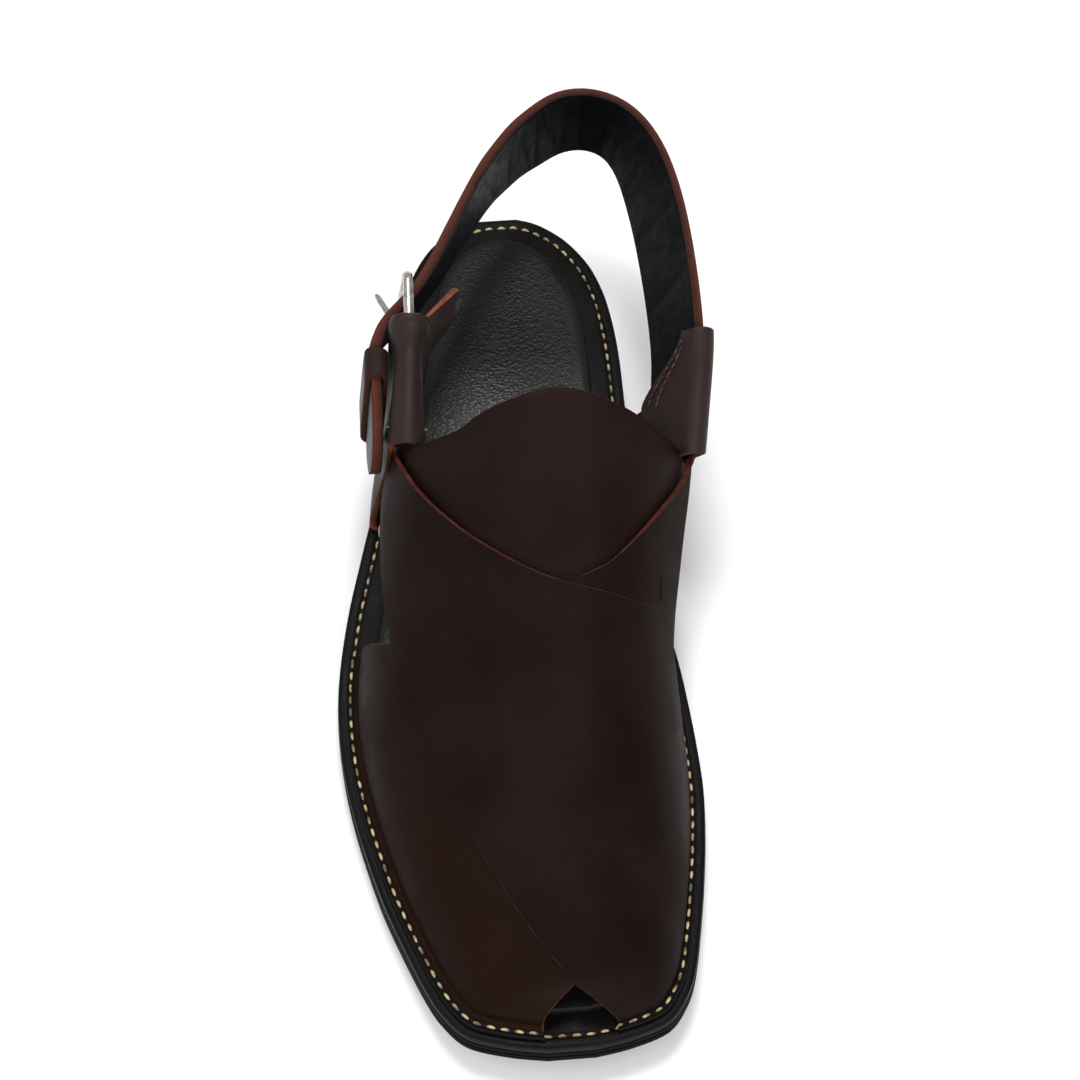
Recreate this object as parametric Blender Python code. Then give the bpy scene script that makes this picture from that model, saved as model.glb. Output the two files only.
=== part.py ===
"""A right-foot strapped sandal with crossed vamp straps, a peaked tongue and a buckled heel strap.

Metres, +Z up. The origin is on the floor under the middle of the heel, the toe points along -Y,
and +X is the side of the big toe. A station is a distance forward from the heel's back edge.
"""
import math

import bmesh
import bpy
from mathutils import Vector

# Driving sizes
SOLE_LENGTH = 0.283
BALL_WIDTH = 0.105
HEEL_LENGTH = 0.072
HEEL_BACK_Y = 0.035
HEEL_STACK = 0.026
FOREFOOT_STACK = 0.0125
TOE_TOP_RISE = 0.004
TOE_SPRING = 0.007
WELT_THICKNESS = 0.0031
INSOLE_THICKNESS = 0.0026
INSOLE_CROWN = 0.0008
SEAT = 0.0003
HEEL_INSET = 0.0012
INSOLE_INSET = 0.0105
EDGE_ROUND = 0.0011
WELT_INSET = 0.0002
GROOVE_DEPTH = 0.0008

# The vamp's vault, its leather and its sewn edge
INSTEP_RISE = 0.072
ANKLE_SPREAD = 0.028
STRAP_LEATHER = 0.0019
OVERLAY_STEP = 0.0010
TONGUE_LEATHER = 0.0016
TONGUE_GAP = 0.0006
FLANGE_EDGE_INSET = 0.0026
LATERAL_CREASE_INSET = 0.0080
MEDIAL_CREASE_INSET = 0.0062

# Heel strap, side straps, buckle and keeper
STRAP_WIDTH = 0.025
STRAP_THICKNESS = 0.0032
SIDE_LEATHER = 0.0022
FOLD_CLEARANCE = 0.0003
ANKLE_HEIGHT = 0.084
SIDE_STRAP_LENGTH = 0.038
HEEL_ROW_SPACING = 0.0145
MEDIAL_HANG = 0.005
LATERAL_HANG = 0.006
MEDIAL_FLAP = 0.0175
LATERAL_FLAP = 0.013
FLAP_SLANT = 0.0015
TAB_REACH = 0.0130
LATERAL_FOLD_RADIUS = 0.0040
LATERAL_FLANGE_INSET = 0.0095
LATERAL_FOOT_INSET = 0.0022
LEG_BULGE = 0.0042
LEG_FRONT_BULGE = 0.0010
BUCKLE_LENGTH = 0.0190
BUCKLE_HEIGHT = 0.0295
BUCKLE_WIRE = 0.0031
BUCKLE_CORNER = 0.0032
PRONG_WIRE = 0.0018
PRONG_CLEARANCE = 0.0005
KEEPER_WIDTH = 0.0103
KEEPER_LEATHER = 0.0015
KEEPER_SLACK = 0.0004
KEEPER_OUTER_SLACK = 0.0003
KEEPER_INNER_SLACK = 0.0005
KEEPER_CORNER = 0.0017
KEEPER_ROW_LENGTH = 0.0125

LATERAL = -1
MEDIAL = 1

# station, lateral and medial half widths: shares of sole length and of ball width
SOLE_OUTLINE = [
    (0.000, 0.060, 0.060), (0.010, 0.130, 0.126), (0.035, 0.215, 0.206), (0.071, 0.275, 0.270),
    (0.106, 0.303, 0.304),
    (0.141, 0.320, 0.322), (0.194, 0.350, 0.334), (0.265, 0.386, 0.336), (0.353, 0.429, 0.338),
    (0.424, 0.481, 0.343), (0.495, 0.533, 0.371), (0.565, 0.568, 0.411), (0.618, 0.576, 0.427),
    (0.671, 0.569, 0.437), (0.724, 0.547, 0.441), (0.777, 0.514, 0.430), (0.830, 0.474, 0.410),
    (0.883, 0.422, 0.384), (0.926, 0.375, 0.358), (0.954, 0.334, 0.326), (0.979, 0.271, 0.271),
    (0.993, 0.162, 0.171), (1.000, 0.060, 0.070),
]

# station, share of the heel's extra height, share of the toe's rise, share of the toe spring
FOOTBED = [
    (0.000, 1.00, 0.00, 0.00), (0.212, 1.00, 0.00, 0.00), (0.318, 0.78, 0.00, 0.00),
    (0.424, 0.47, 0.00, 0.00), (0.530, 0.14, 0.00, 0.00), (0.594, 0.00, 0.00, 0.00),
    (0.760, 0.00, 0.00, 0.00), (0.883, 0.00, 0.37, 0.33), (1.000, 0.00, 1.00, 1.00),
]

# station, ridge offset, ridge rise, lateral spread, medial spread:
# shares of sole length, ball width, instep rise and ankle spread
VAULT = [
    (0.318, 0.076, 1.010, 0.29, 1.00), (0.336, 0.076, 0.990, 0.22, 1.00),
    (0.389, 0.086, 0.955, 0.15, 1.00), (0.442, 0.105, 0.890, 0.10, 0.84),
    (0.530, 0.124, 0.745, 0.00, 0.42), (0.618, 0.114, 0.630, 0.00, 0.09),
    (0.707, 0.076, 0.507, 0.00, 0.00), (0.795, 0.048, 0.390, 0.00, 0.00),
    (0.883, 0.029, 0.278, 0.00, 0.00), (0.926, 0.029, 0.212, 0.00, 0.00),
    (0.951, 0.029, 0.163, 0.00, 0.00), (0.968, 0.029, 0.100, 0.00, 0.00),
    (0.979, 0.029, 0.030, 0.00, 0.00),
]

# Free edges seen from above: share of ball width across, share of sole length forward
OVER_FREE_EDGE = [
    (-0.343, 0.383), (-0.384, 0.422), (-0.400, 0.500), (-0.393, 0.565), (-0.362, 0.625),
    (-0.305, 0.708), (-0.210, 0.802), (-0.086, 0.894), (0.027, 0.951),
]
OVER_REAR_EDGE = [
    (0.362, 0.540), (0.352, 0.566), (0.276, 0.579), (0.124, 0.569), (-0.010, 0.547),
    (-0.130, 0.515), (-0.217, 0.482), (-0.281, 0.447), (-0.322, 0.411), (-0.343, 0.383),
]
UNDER_FREE_EDGE = [
    (0.466, 0.407), (0.446, 0.448), (0.415, 0.500), (0.385, 0.560), (0.350, 0.640),
    (0.290, 0.730), (0.200, 0.820), (0.100, 0.896), (0.022, 0.949),
]
UNDER_REAR_EDGE = [
    (-0.470, 0.545), (-0.380, 0.580), (-0.180, 0.598), (0.040, 0.585), (0.124, 0.566),
    (0.210, 0.550), (0.296, 0.517), (0.363, 0.484), (0.420, 0.452), (0.452, 0.427),
    (0.466, 0.407),
]
TONGUE_TOP_EDGE = [
    (-0.345, 0.412), (-0.305, 0.404), (-0.200, 0.408), (-0.114, 0.402), (-0.019, 0.397),
    (0.076, 0.392), (0.162, 0.395), (0.238, 0.401), (0.324, 0.407), (0.390, 0.413),
    (0.432, 0.418),
]
TONGUE_TOE_EDGE = [
    (-0.330, 0.560), (-0.170, 0.650), (0.000, 0.690), (0.160, 0.670), (0.290, 0.590),
]
SEWN_START = 0.545
OVER_TOE_END = 0.130
UNDER_TOE_END = -0.066

# Heel strap from its medial end to its tip: the top edge's place, as shares of ball width,
# sole length and ankle height, and how far the low edge lies sideways and forward of it, as
# shares of the strap's width
HEEL_STRAP = [
    (0.500, 0.367, 0.815, -0.46, -0.32), (0.519, 0.325, 0.923, -0.48, -0.32),
    (0.524, 0.283, 0.958, -0.50, -0.20), (0.528, 0.219, 0.940, -0.50, -0.20),
    (0.524, 0.148, 0.923, -0.54, -0.20), (0.508, 0.088, 0.911, -0.54, -0.20),
    (0.474, 0.036, 0.908, -0.50, -0.18), (0.405, -0.011, 0.905, -0.30, 0.04),
    (0.295, -0.035, 0.905, -0.08, 0.16), (0.190, -0.032, 0.905, 0.04, 0.16),
    (0.115, -0.011, 0.908, 0.08, 0.08), (0.052, 0.012, 0.914, 0.10, -0.08),
    (0.000, 0.041, 0.923, 0.06, -0.12), (-0.048, 0.069, 0.932, 0.02, -0.14),
    (-0.124, 0.131, 0.958, 0.00, -0.22), (-0.200, 0.198, 0.992, -0.06, -0.30),
    (-0.238, 0.226, 1.000, -0.08, -0.30), (-0.276, 0.249, 1.003, -0.10, -0.30),
    (-0.318, 0.266, 0.998, -0.11, -0.30), (-0.361, 0.282, 0.985, -0.11, -0.32),
    (-0.391, 0.302, 0.957, -0.11, -0.38), (-0.396, 0.331, 0.895, -0.11, -0.44),
    (-0.400, 0.366, 0.795, -0.11, -0.45), (-0.408, 0.406, 0.682, -0.12, -0.46),
]
TIP_ROWS = 0.9
TIP_END_SHARE = 0.12

# The keeper's table row, and how far it leans back along the strap for each metre up it
KEEPER_ROW = 21.20
KEEPER_LEAN = 0.557

# Folds of the side straps: share of ball width across, of sole length and of ankle height
LATERAL_FOLD_FRONT = (-0.3275, 0.3862, 0.7074)
LATERAL_FOLD_REAR = (-0.2915, 0.2899, 1.036)
MEDIAL_LEAD = 0.47
FOLD_HANG = (-0.03, 0.29, -0.95)

# The lateral fold from front to rear: share of its length, share of its full half width
LATERAL_FOLD_SWELL = [
    (0.00, 1.000), (0.19, 0.950), (0.34, 0.900), (0.52, 0.825), (0.66, 0.725), (0.76, 0.700),
    (0.86, 1.000), (0.93, 1.125), (1.00, 0.850),
]

# Legs of the side straps: front and rear foot stations, then how strongly the wall rises from
# the welt and falls from the fold, as shares of its height, and the way it falls
LATERAL_LEG = (0.403, 0.315, 0.14, 0.52, (-0.03, 0.20, -0.97))
MEDIAL_LEG = (0.415, 0.315, 0.20, 0.62, (-0.12, -0.05, -0.98))
BULGE_SHARPNESS = 0.7

# The buckle: where on the fold its front bar hangs, its rear bar's top, the way its bars hang,
# the prong's height on the bar and the prong's tip
BUCKLE_FOLD_SHARE = 0.88
BUCKLE_REAR = (-0.289, 0.237, 1.054)
BUCKLE_HANG = (-0.086, 0.29, -0.95)
PRONG_SHARE = 0.48
PRONG_TIP = (-0.384, 0.214, 0.833)

# The inner flaps: where the medial one starts to shorten and by how much, how the lateral one
# grows rearward, and the shape of the tab at its rear end
MEDIAL_FLAP_FROM = 0.35
MEDIAL_FLAP_CUT = 0.80
LATERAL_FLAP_FRONT = 0.3
LATERAL_FLAP_FULL = 0.6
TAB_INWARD = 0.85
TAB_WAVE = 1.6
TAB_SHARPNESS = 4

# The vault's rounding: powers of the superellipse across it, and how rows crowd at the crease
VAULT_SPREAD_POWER = 2.2
VAULT_HEIGHT_POWER = 0.55
ROW_CROWDING = 1.35

# Last row of the sole's outline, and how many rows its layers are built with
LAST_ROW = len(SOLE_OUTLINE) - 1
FINE_ROWS = 34

# How high up the outsole's side the groove starts, is full, starts to end and has gone
GROOVE_LEVELS = (0.50, 0.56, 0.62, 0.68)


def clear_scene():
    """Start from an empty file."""
    for thing in list(bpy.data.objects):
        bpy.data.objects.remove(thing, do_unlink=True)


def smooth_table(table, row):
    """Catmull-Rom reading of a table at a fractional row number."""
    last = len(table) - 1
    row = min(max(row, 0.0), float(last))
    k = min(int(row), last - 1)
    t = row - k
    rows = [table[max(k - 1, 0)], table[k], table[k + 1], table[min(k + 2, last)]]
    weights = (
        -0.5 * t + t * t - 0.5 * t ** 3,
        1.0 - 2.5 * t * t + 1.5 * t ** 3,
        0.5 * t + 2.0 * t * t - 1.5 * t ** 3,
        -0.5 * t * t + 0.5 * t ** 3,
    )
    return tuple(sum(w * r[c] for w, r in zip(weights, rows)) for c in range(len(table[0])))


def at_station(table, share):
    """Values of a table whose first column is the station's share of the sole length."""
    share = min(max(share, table[0][0]), table[-1][0])
    k = 0
    while k < len(table) - 2 and share > table[k + 1][0]:
        k += 1
    low, high = float(k), float(k + 1)
    for _ in range(24):
        middle = (low + high) / 2.0
        if smooth_table(table, middle)[0] < share:
            low = middle
        else:
            high = middle
    return smooth_table(table, (low + high) / 2.0)


def ease(value):
    """Smooth step from 0 to 1."""
    value = min(max(value, 0.0), 1.0)
    return value * value * (3.0 - 2.0 * value)


def place(across, station, height):
    """A point from its distance across, its station and its height."""
    return Vector((across, HEEL_BACK_Y - station, height))


def sole_top(station):
    """Height of the welt's top face."""
    row = at_station(FOOTBED, station / SOLE_LENGTH)
    lift = (HEEL_STACK - FOREFOOT_STACK) * min(max(row[1], 0.0), 1.0)
    return FOREFOOT_STACK + lift + TOE_TOP_RISE * max(row[2], 0.0)


def sole_bottom(station):
    """Height of the outsole's under face."""
    row = at_station(FOOTBED, station / SOLE_LENGTH)
    lift = (HEEL_STACK - FOREFOOT_STACK) * min(max(row[1], 0.0), 1.0)
    return lift + TOE_SPRING * max(row[3], 0.0)


def edge_point(side, row, inset):
    """Across and station of the sole's edge at a table row, moved inwards by the inset."""
    def raw(at):
        values = smooth_table(SOLE_OUTLINE, at)
        width = values[1] if side == LATERAL else values[2]
        return Vector((side * width * BALL_WIDTH, values[0] * SOLE_LENGTH))
    here = raw(row)
    ahead = raw(row + 0.04) - raw(row - 0.04)
    inward = Vector((-side * ahead.y, side * ahead.x)).normalized()
    return here + inward * inset


def edge_across(side, station, inset):
    """How far across the inset edge lies at a station."""
    low, high = 1.0, len(SOLE_OUTLINE) - 1.0
    for _ in range(24):
        middle = (low + high) / 2.0
        if edge_point(side, middle, inset).y < station:
            low = middle
        else:
            high = middle
    return edge_point(side, (low + high) / 2.0, inset).x


def edge_row(side, station, inset):
    """Table row at which the inset edge reaches a station."""
    low, high = 1.0, len(SOLE_OUTLINE) - 1.0
    for _ in range(24):
        middle = (low + high) / 2.0
        if edge_point(side, middle, inset).y < station:
            low = middle
        else:
            high = middle
    return (low + high) / 2.0


def material(name, colour, roughness, metallic=0.0):
    """A plain finish for one sub-part."""
    made = bpy.data.materials.new(name)
    made.use_nodes = True
    shader = made.node_tree.nodes["Principled BSDF"]
    shader.inputs["Base Color"].default_value = (*colour, 1.0)
    shader.inputs["Roughness"].default_value = roughness
    shader.inputs["Metallic"].default_value = metallic
    made.diffuse_color = (*colour, 1.0)
    return made


def add_object(name, mesh, finish, collection):
    """Link a mesh as a named object with its finish."""
    made = bpy.data.objects.new(name, mesh)
    if finish is not None:
        mesh.materials.append(finish)
    collection.objects.link(made)
    return made


def mesh_from(name, points, faces):
    """A mesh whose faces all point out."""
    body = bmesh.new()
    verts = [body.verts.new(p) for p in points]
    for face in faces:
        corners = [verts[i] for i in face]
        body.faces.new(corners)
    bmesh.ops.recalc_face_normals(body, faces=body.faces)
    mesh = bpy.data.meshes.new(name)
    body.to_mesh(mesh)
    body.free()
    return mesh


def boundary(rows, columns):
    """Grid indices round the rim of a grid, in order."""
    ring = [(i, 0) for i in range(rows)]
    ring += [(rows - 1, j) for j in range(1, columns)]
    ring += [(i, columns - 1) for i in range(rows - 2, -1, -1)]
    ring += [(0, j) for j in range(columns - 2, 0, -1)]
    return ring


def sheet_mesh(name, under, over):
    """A closed sheet between two grids of points of the same size."""
    rows, columns = len(under), len(under[0])
    points = [p for row in under for p in row] + [p for row in over for p in row]
    shift = rows * columns
    faces = []
    for i in range(rows - 1):
        for j in range(columns - 1):
            a, b = i * columns + j, i * columns + j + 1
            c, d = (i + 1) * columns + j + 1, (i + 1) * columns + j
            faces.append((a, b, c, d))
            faces.append((d + shift, c + shift, b + shift, a + shift))
    ring = [i * columns + j for i, j in boundary(rows, columns)]
    for k, a in enumerate(ring):
        b = ring[(k + 1) % len(ring)]
        faces.append((b, a, a + shift, b + shift))
    return mesh_from(name, points, faces)


def thicken(grid, thickness, side_hint):
    """Second grid at the given thickness along the grid's normals, towards the hint."""
    rows, columns = len(grid), len(grid[0])
    out = []
    for i in range(rows):
        line = []
        for j in range(columns):
            onward = grid[min(i + 1, rows - 1)][j] - grid[max(i - 1, 0)][j]
            across = grid[i][min(j + 1, columns - 1)] - grid[i][max(j - 1, 0)]
            normal = onward.cross(across).normalized()
            if normal.dot(side_hint(grid[i][j])) < 0.0:
                normal = -normal
            line.append(grid[i][j] + normal * thickness)
        out.append(line)
    return out


def slab(name, profile, bottom, top, first_row, last_row, count, columns):
    """A layer of the sole. The profile lists inset and level (0 bottom, 1 top) up its side."""
    shares = [0.5 * (i / count) + 0.25 * (1.0 - math.cos(math.pi * i / count))
              for i in range(count + 1)]
    rows = [first_row + (last_row - first_row) * share for share in shares]

    def grid(inset, level, only_rim):
        lines = []
        for i, row in enumerate(rows):
            left = edge_point(LATERAL, row, inset)
            right = edge_point(MEDIAL, row, inset)
            line = []
            for j in range(columns + 1):
                if only_rim and 0 < i < len(rows) - 1 and 0 < j < columns:
                    line.append(None)
                    continue
                spot = left.lerp(right, j / columns)
                low, high = bottom(spot.x, spot.y), top(spot.x, spot.y)
                line.append(place(spot.x, spot.y, low + (high - low) * level))
            lines.append(line)
        return lines

    points, faces = [], []
    ring_order = boundary(len(rows), columns + 1)
    rings = []
    for k, (inset, level) in enumerate(profile):
        capped = k in (0, len(profile) - 1)
        lines = grid(inset, level, not capped)
        index = {}
        for i, line in enumerate(lines):
            for j, point in enumerate(line):
                if point is not None:
                    index[(i, j)] = len(points)
                    points.append(point)
        rings.append([index[spot] for spot in ring_order])
        if capped:
            for i in range(len(rows) - 1):
                for j in range(columns):
                    faces.append((index[(i, j)], index[(i, j + 1)],
                                  index[(i + 1, j + 1)], index[(i + 1, j)]))
    for lower, upper in zip(rings, rings[1:]):
        for k, a in enumerate(lower):
            b = (k + 1) % len(lower)
            faces.append((a, lower[b], upper[b], upper[k]))
    return mesh_from(name, points, faces)


def make_outsole(collection):
    """The rubber outsole, with a groove round its side that marks its two plies."""
    start, full, end, gone = GROOVE_LEVELS
    profile = [(EDGE_ROUND, 0.0), (0.0, 0.13), (0.0, start), (GROOVE_DEPTH, full),
               (GROOVE_DEPTH, end), (0.0, gone), (0.0, 1.0)]

    def top(across, station):
        return sole_top(station) - WELT_THICKNESS - SEAT

    mesh = slab("outsole", profile, lambda across, station: sole_bottom(station), top,
                0.0, LAST_ROW, FINE_ROWS, 4)
    add_object("outsole", mesh, material("sole_rubber", (0.020, 0.020, 0.022), 0.55), collection)


def make_heel(collection):
    """The heel block under the outsole, with a straight breast and a flat ground face."""
    breast = edge_row(LATERAL, HEEL_LENGTH, HEEL_INSET)
    profile = [(HEEL_INSET + EDGE_ROUND, 0.0), (HEEL_INSET, 0.12), (HEEL_INSET, 1.0)]

    def top(across, station):
        return sole_bottom(station) - SEAT

    mesh = slab("heel", profile, lambda across, station: 0.0, top, 0.0, breast, 14, 4)
    add_object("heel", mesh, material("heel_rubber", (0.018, 0.018, 0.020), 0.60), collection)


def make_welt(collection):
    """The leather welt that the stitches go through."""
    profile = [(WELT_INSET, 0.0), (WELT_INSET, 0.55), (EDGE_ROUND, 1.0)]

    def bottom(across, station):
        return sole_top(station) - WELT_THICKNESS

    mesh = slab("welt", profile, bottom, lambda across, station: sole_top(station),
                0.0, LAST_ROW, FINE_ROWS, 4)
    add_object("welt", mesh, material("welt_leather", (0.016, 0.016, 0.018), 0.42), collection)


def make_insole(collection):
    """The padded insole, crowned a little, inside the stitches and the vamp's crease."""
    profile = [(INSOLE_INSET, 0.0), (INSOLE_INSET, 0.35), (INSOLE_INSET + 0.5 * EDGE_ROUND, 0.75),
               (INSOLE_INSET + 1.7 * EDGE_ROUND, 1.0)]

    def bottom(across, station):
        return sole_top(station) + SEAT

    def top(across, station):
        reach = 0.5 * BALL_WIDTH
        crown = INSOLE_CROWN * max(0.0, 1.0 - (across / reach) ** 2)
        return bottom(across, station) + INSOLE_THICKNESS - INSOLE_CROWN + crown

    mesh = slab("insole", profile, bottom, top, 0.0, LAST_ROW, FINE_ROWS, 6)
    add_object("insole", mesh, material("insole_leather", (0.028, 0.028, 0.030), 0.48), collection)


def vault_sides(station):
    """Ridge offset, ridge height and the two walls' feet of the vamp's vault at a station."""
    row = at_station(VAULT, station / SOLE_LENGTH)
    base = sole_top(station) + SEAT
    left = edge_across(LATERAL, station, LATERAL_CREASE_INSET) - row[3] * ANKLE_SPREAD
    right = edge_across(MEDIAL, station, MEDIAL_CREASE_INSET) + row[4] * ANKLE_SPREAD
    return row[1] * BALL_WIDTH, base + row[2] * INSTEP_RISE, left, right, base


def vault_height(across, station):
    """Height of the vault that the vamp straps lie on."""
    ridge, crest, left, right, base = vault_sides(station)
    reach = right - ridge if across > ridge else ridge - left
    share = min(abs(across - ridge) / reach, 1.0)
    return base + (crest - base) * (1.0 - share ** VAULT_SPREAD_POWER) ** VAULT_HEIGHT_POWER


def along(points, share):
    """The point at a share of the length of a run of points."""
    steps = [(q - p).length for p, q in zip(points, points[1:])]
    left = sum(steps) * min(max(share, 0.0), 1.0)
    for p, q, step in zip(points, points[1:], steps):
        if left <= step or q is points[-1]:
            return p.lerp(q, min(left / step, 1.0))
        left -= step
    return points[-1]


def edge_curve(table):
    """Finely read points, across and station in metres, of an edge table."""
    count = 6 * (len(table) - 1)
    rows = [smooth_table(table, (len(table) - 1) * k / count) for k in range(count + 1)]
    return [Vector((row[0] * BALL_WIDTH, row[1] * SOLE_LENGTH)) for row in rows]


def sewn_run(side, inset, toe_end):
    """Points where a strap is sewn, from its rear end round to its end at the toe."""
    first = edge_row(side, SEWN_START * SOLE_LENGTH, inset)
    low, high = LAST_ROW - 4.0, float(LAST_ROW)
    for _ in range(24):
        last = (low + high) / 2.0
        if abs(edge_point(side, last, inset).x) > abs(toe_end * BALL_WIDTH):
            low = last
        else:
            high = last
    count = 60
    return [edge_point(side, first + (last - first) * k / count, inset) for k in range(count + 1)]


def strap_grid(side, rear_edge, free_edge, toe_end, crease_inset, offset, columns, rows):
    """Inner face of a vamp strap: a sewn flange, a crease and the sheet up over the vault."""
    flange_run = sewn_run(side, FLANGE_EDGE_INSET, toe_end)
    crease_run = sewn_run(side, crease_inset, toe_end)
    free_run = edge_curve(free_edge)
    rear_run = edge_curve(rear_edge)
    grid = []
    for i in range(columns + 1):
        share = i / columns
        flange = along(flange_run, share)
        crease = along(crease_run, share)
        free = along(free_run, share)
        line = [place(flange.x, flange.y, sole_top(flange.y) + SEAT)]
        for j in range(rows + 1):
            reach = (j / rows) ** ROW_CROWDING
            bow = along(rear_run, reach) - rear_run[0].lerp(rear_run[-1], reach)
            spot = crease.lerp(free, reach) + bow * (1.0 - share) ** 2.0
            height = sole_top(spot.y) + SEAT if j == 0 else vault_height(spot.x, spot.y)
            line.append((spot, height, offset * ease(reach / 0.25)))
        grid.append(line)
    return raise_grid(grid)


def raise_grid(grid):
    """Turn plan points with a height and a lift into places, lifting along the surface normal."""
    plain = []
    for line in grid:
        plain.append([p if isinstance(p, Vector) else place(p[0].x, p[0].y, p[1]) for p in line])
    raised = []
    for i, line in enumerate(grid):
        out = []
        for j, point in enumerate(line):
            if isinstance(point, Vector) or abs(point[2]) < 1e-9:
                out.append(plain[i][j])
                continue
            onward = plain[min(i + 1, len(plain) - 1)][j] - plain[max(i - 1, 0)][j]
            across = plain[i][min(j + 1, len(line) - 1)] - plain[i][j - 1]
            normal = onward.cross(across).normalized()
            if normal.z < 0.0:
                normal = -normal
            out.append(plain[i][j] + normal * point[2])
        raised.append(out)
    return raised


def outward(point):
    """Rough outward direction of the vault, used to choose a normal's sign."""
    return Vector((point.x - 0.01, 0.0, 0.03))


def join_bodies(target, others):
    """Union other objects into the target and remove them."""
    for other in others:
        union = target.modifiers.new("join", "BOOLEAN")
        union.operation = "UNION"
        union.solver = "EXACT"
        union.object = other
    bpy.context.view_layer.update()
    depsgraph = bpy.context.evaluated_depsgraph_get()
    mesh = bpy.data.meshes.new_from_object(target.evaluated_get(depsgraph))
    target.modifiers.clear()
    target.data = mesh
    for other in others:
        bpy.data.objects.remove(other, do_unlink=True)


def make_upper(collection):
    """The upper: two vamp straps that cross, one wall where they meet."""
    finish = material("vamp_leather", (0.040, 0.023, 0.018), 0.62)
    under_grid = strap_grid(LATERAL, UNDER_REAR_EDGE, UNDER_FREE_EDGE, UNDER_TOE_END,
                            LATERAL_CREASE_INSET, 0.0, 24, 15)
    over_grid = strap_grid(MEDIAL, OVER_REAR_EDGE, OVER_FREE_EDGE, OVER_TOE_END,
                           MEDIAL_CREASE_INSET, OVERLAY_STEP, 24, 15)
    under_mesh = sheet_mesh("under_strap", under_grid,
                            thicken(under_grid, STRAP_LEATHER, outward))
    over_mesh = sheet_mesh("upper", over_grid, thicken(over_grid, STRAP_LEATHER, outward))
    under = add_object("under_strap", under_mesh, finish, collection)
    upper = add_object("upper", over_mesh, finish, collection)
    join_bodies(upper, [under])


def make_tongue(collection):
    """The peaked tongue under the crossed straps."""
    columns, rows = 18, 10
    top_run = edge_curve(TONGUE_TOP_EDGE)
    toe_run = edge_curve(TONGUE_TOE_EDGE)
    plain = []
    for i in range(rows + 1):
        line = []
        for j in range(columns + 1):
            spot = along(top_run, j / columns).lerp(along(toe_run, j / columns), i / rows)
            line.append(place(spot.x, spot.y, vault_height(spot.x, spot.y)))
        plain.append(line)
    over = thicken(plain, -TONGUE_GAP, outward)
    under = thicken(plain, -TONGUE_GAP - TONGUE_LEATHER, outward)
    add_object("tongue", sheet_mesh("tongue", under, over),
               material("tongue_leather", (0.036, 0.018, 0.015), 0.60), collection)


def heel_strap_row(row):
    """Top edge and low edge of the heel strap at a fractional table row."""
    values = smooth_table(HEEL_STRAP, row)
    top = place(values[0] * BALL_WIDTH, values[1] * SOLE_LENGTH, values[2] * ANKLE_HEIGHT)
    side, forward = values[3], values[4]
    drop = math.sqrt(1.0 - side * side - forward * forward)
    low = top + Vector((side, -forward, -drop)) * STRAP_WIDTH
    return top, low


def heel_strap_frame(row):
    """Middle, path, width and outward directions of the heel strap at a table row."""
    top, low = heel_strap_row(row)
    before, after = heel_strap_row(row - 0.15), heel_strap_row(row + 0.15)
    path = ((after[0] + after[1]) - (before[0] + before[1])).normalized()
    width = (top - low).normalized()
    out = path.cross(width).normalized()
    return (top + low) / 2.0, path, width, out


def rounded_section(half_width, half_thickness):
    """Points of a flat section with rounded edges, across and through."""
    soft = half_thickness * 0.55
    return [
        (-half_width, -soft), (-half_width + soft, -half_thickness),
        (half_width - soft, -half_thickness), (half_width, -soft),
        (half_width, soft), (half_width - soft, half_thickness),
        (-half_width + soft, half_thickness), (-half_width, soft),
    ]


def make_heel_strap(collection, cutters):
    """The heel strap from inside the medial fold round to its tip, with the prong's hole."""
    steps = 62
    last = len(HEEL_STRAP) - 1.0
    points, faces = [], []
    for i in range(steps + 1):
        row = last * i / steps
        middle, path, width, out = heel_strap_frame(row)
        to_tip = min((last - row) / TIP_ROWS, 1.0)
        narrow = math.sqrt(max(1.0 - (1.0 - to_tip) ** 2, TIP_END_SHARE))
        for across, through in rounded_section(0.5 * STRAP_WIDTH * narrow, 0.5 * STRAP_THICKNESS):
            points.append(middle + width * across + out * through)
    size = 8
    for i in range(steps):
        for k in range(size):
            a, b = i * size + k, i * size + (k + 1) % size
            faces.append((a, b, b + size, a + size))
    faces.append(tuple(range(size)))
    faces.append(tuple(range(steps * size, steps * size + size)))
    strap = add_object("heel_strap", mesh_from("heel_strap", points, faces),
                       material("strap_leather", (0.045, 0.026, 0.021), 0.58), collection)
    start, end = prong_line()
    hole = cylinder_between("prong_hole", start, end, 0.5 * PRONG_WIRE + PRONG_CLEARANCE, 16)
    hole.hide_render = True
    hole.display_type = "WIRE"
    cutters.objects.link(hole)
    cut = strap.modifiers.new("prong_hole", "BOOLEAN")
    cut.operation = "DIFFERENCE"
    cut.solver = "EXACT"
    cut.object = hole


def cylinder_between(name, start, end, radius, segments):
    """A closed cylinder between two points, not linked to any collection."""
    body = bmesh.new()
    length = (end - start).length
    bmesh.ops.create_cone(body, cap_ends=True, segments=segments, radius1=radius,
                          radius2=radius, depth=length)
    mesh = bpy.data.meshes.new(name)
    body.to_mesh(mesh)
    body.free()
    made = bpy.data.objects.new(name, mesh)
    turn = (end - start).to_track_quat("Z", "Y").to_matrix().to_4x4()
    turn.translation = (start + end) / 2.0
    made.matrix_world = turn
    return made


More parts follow.
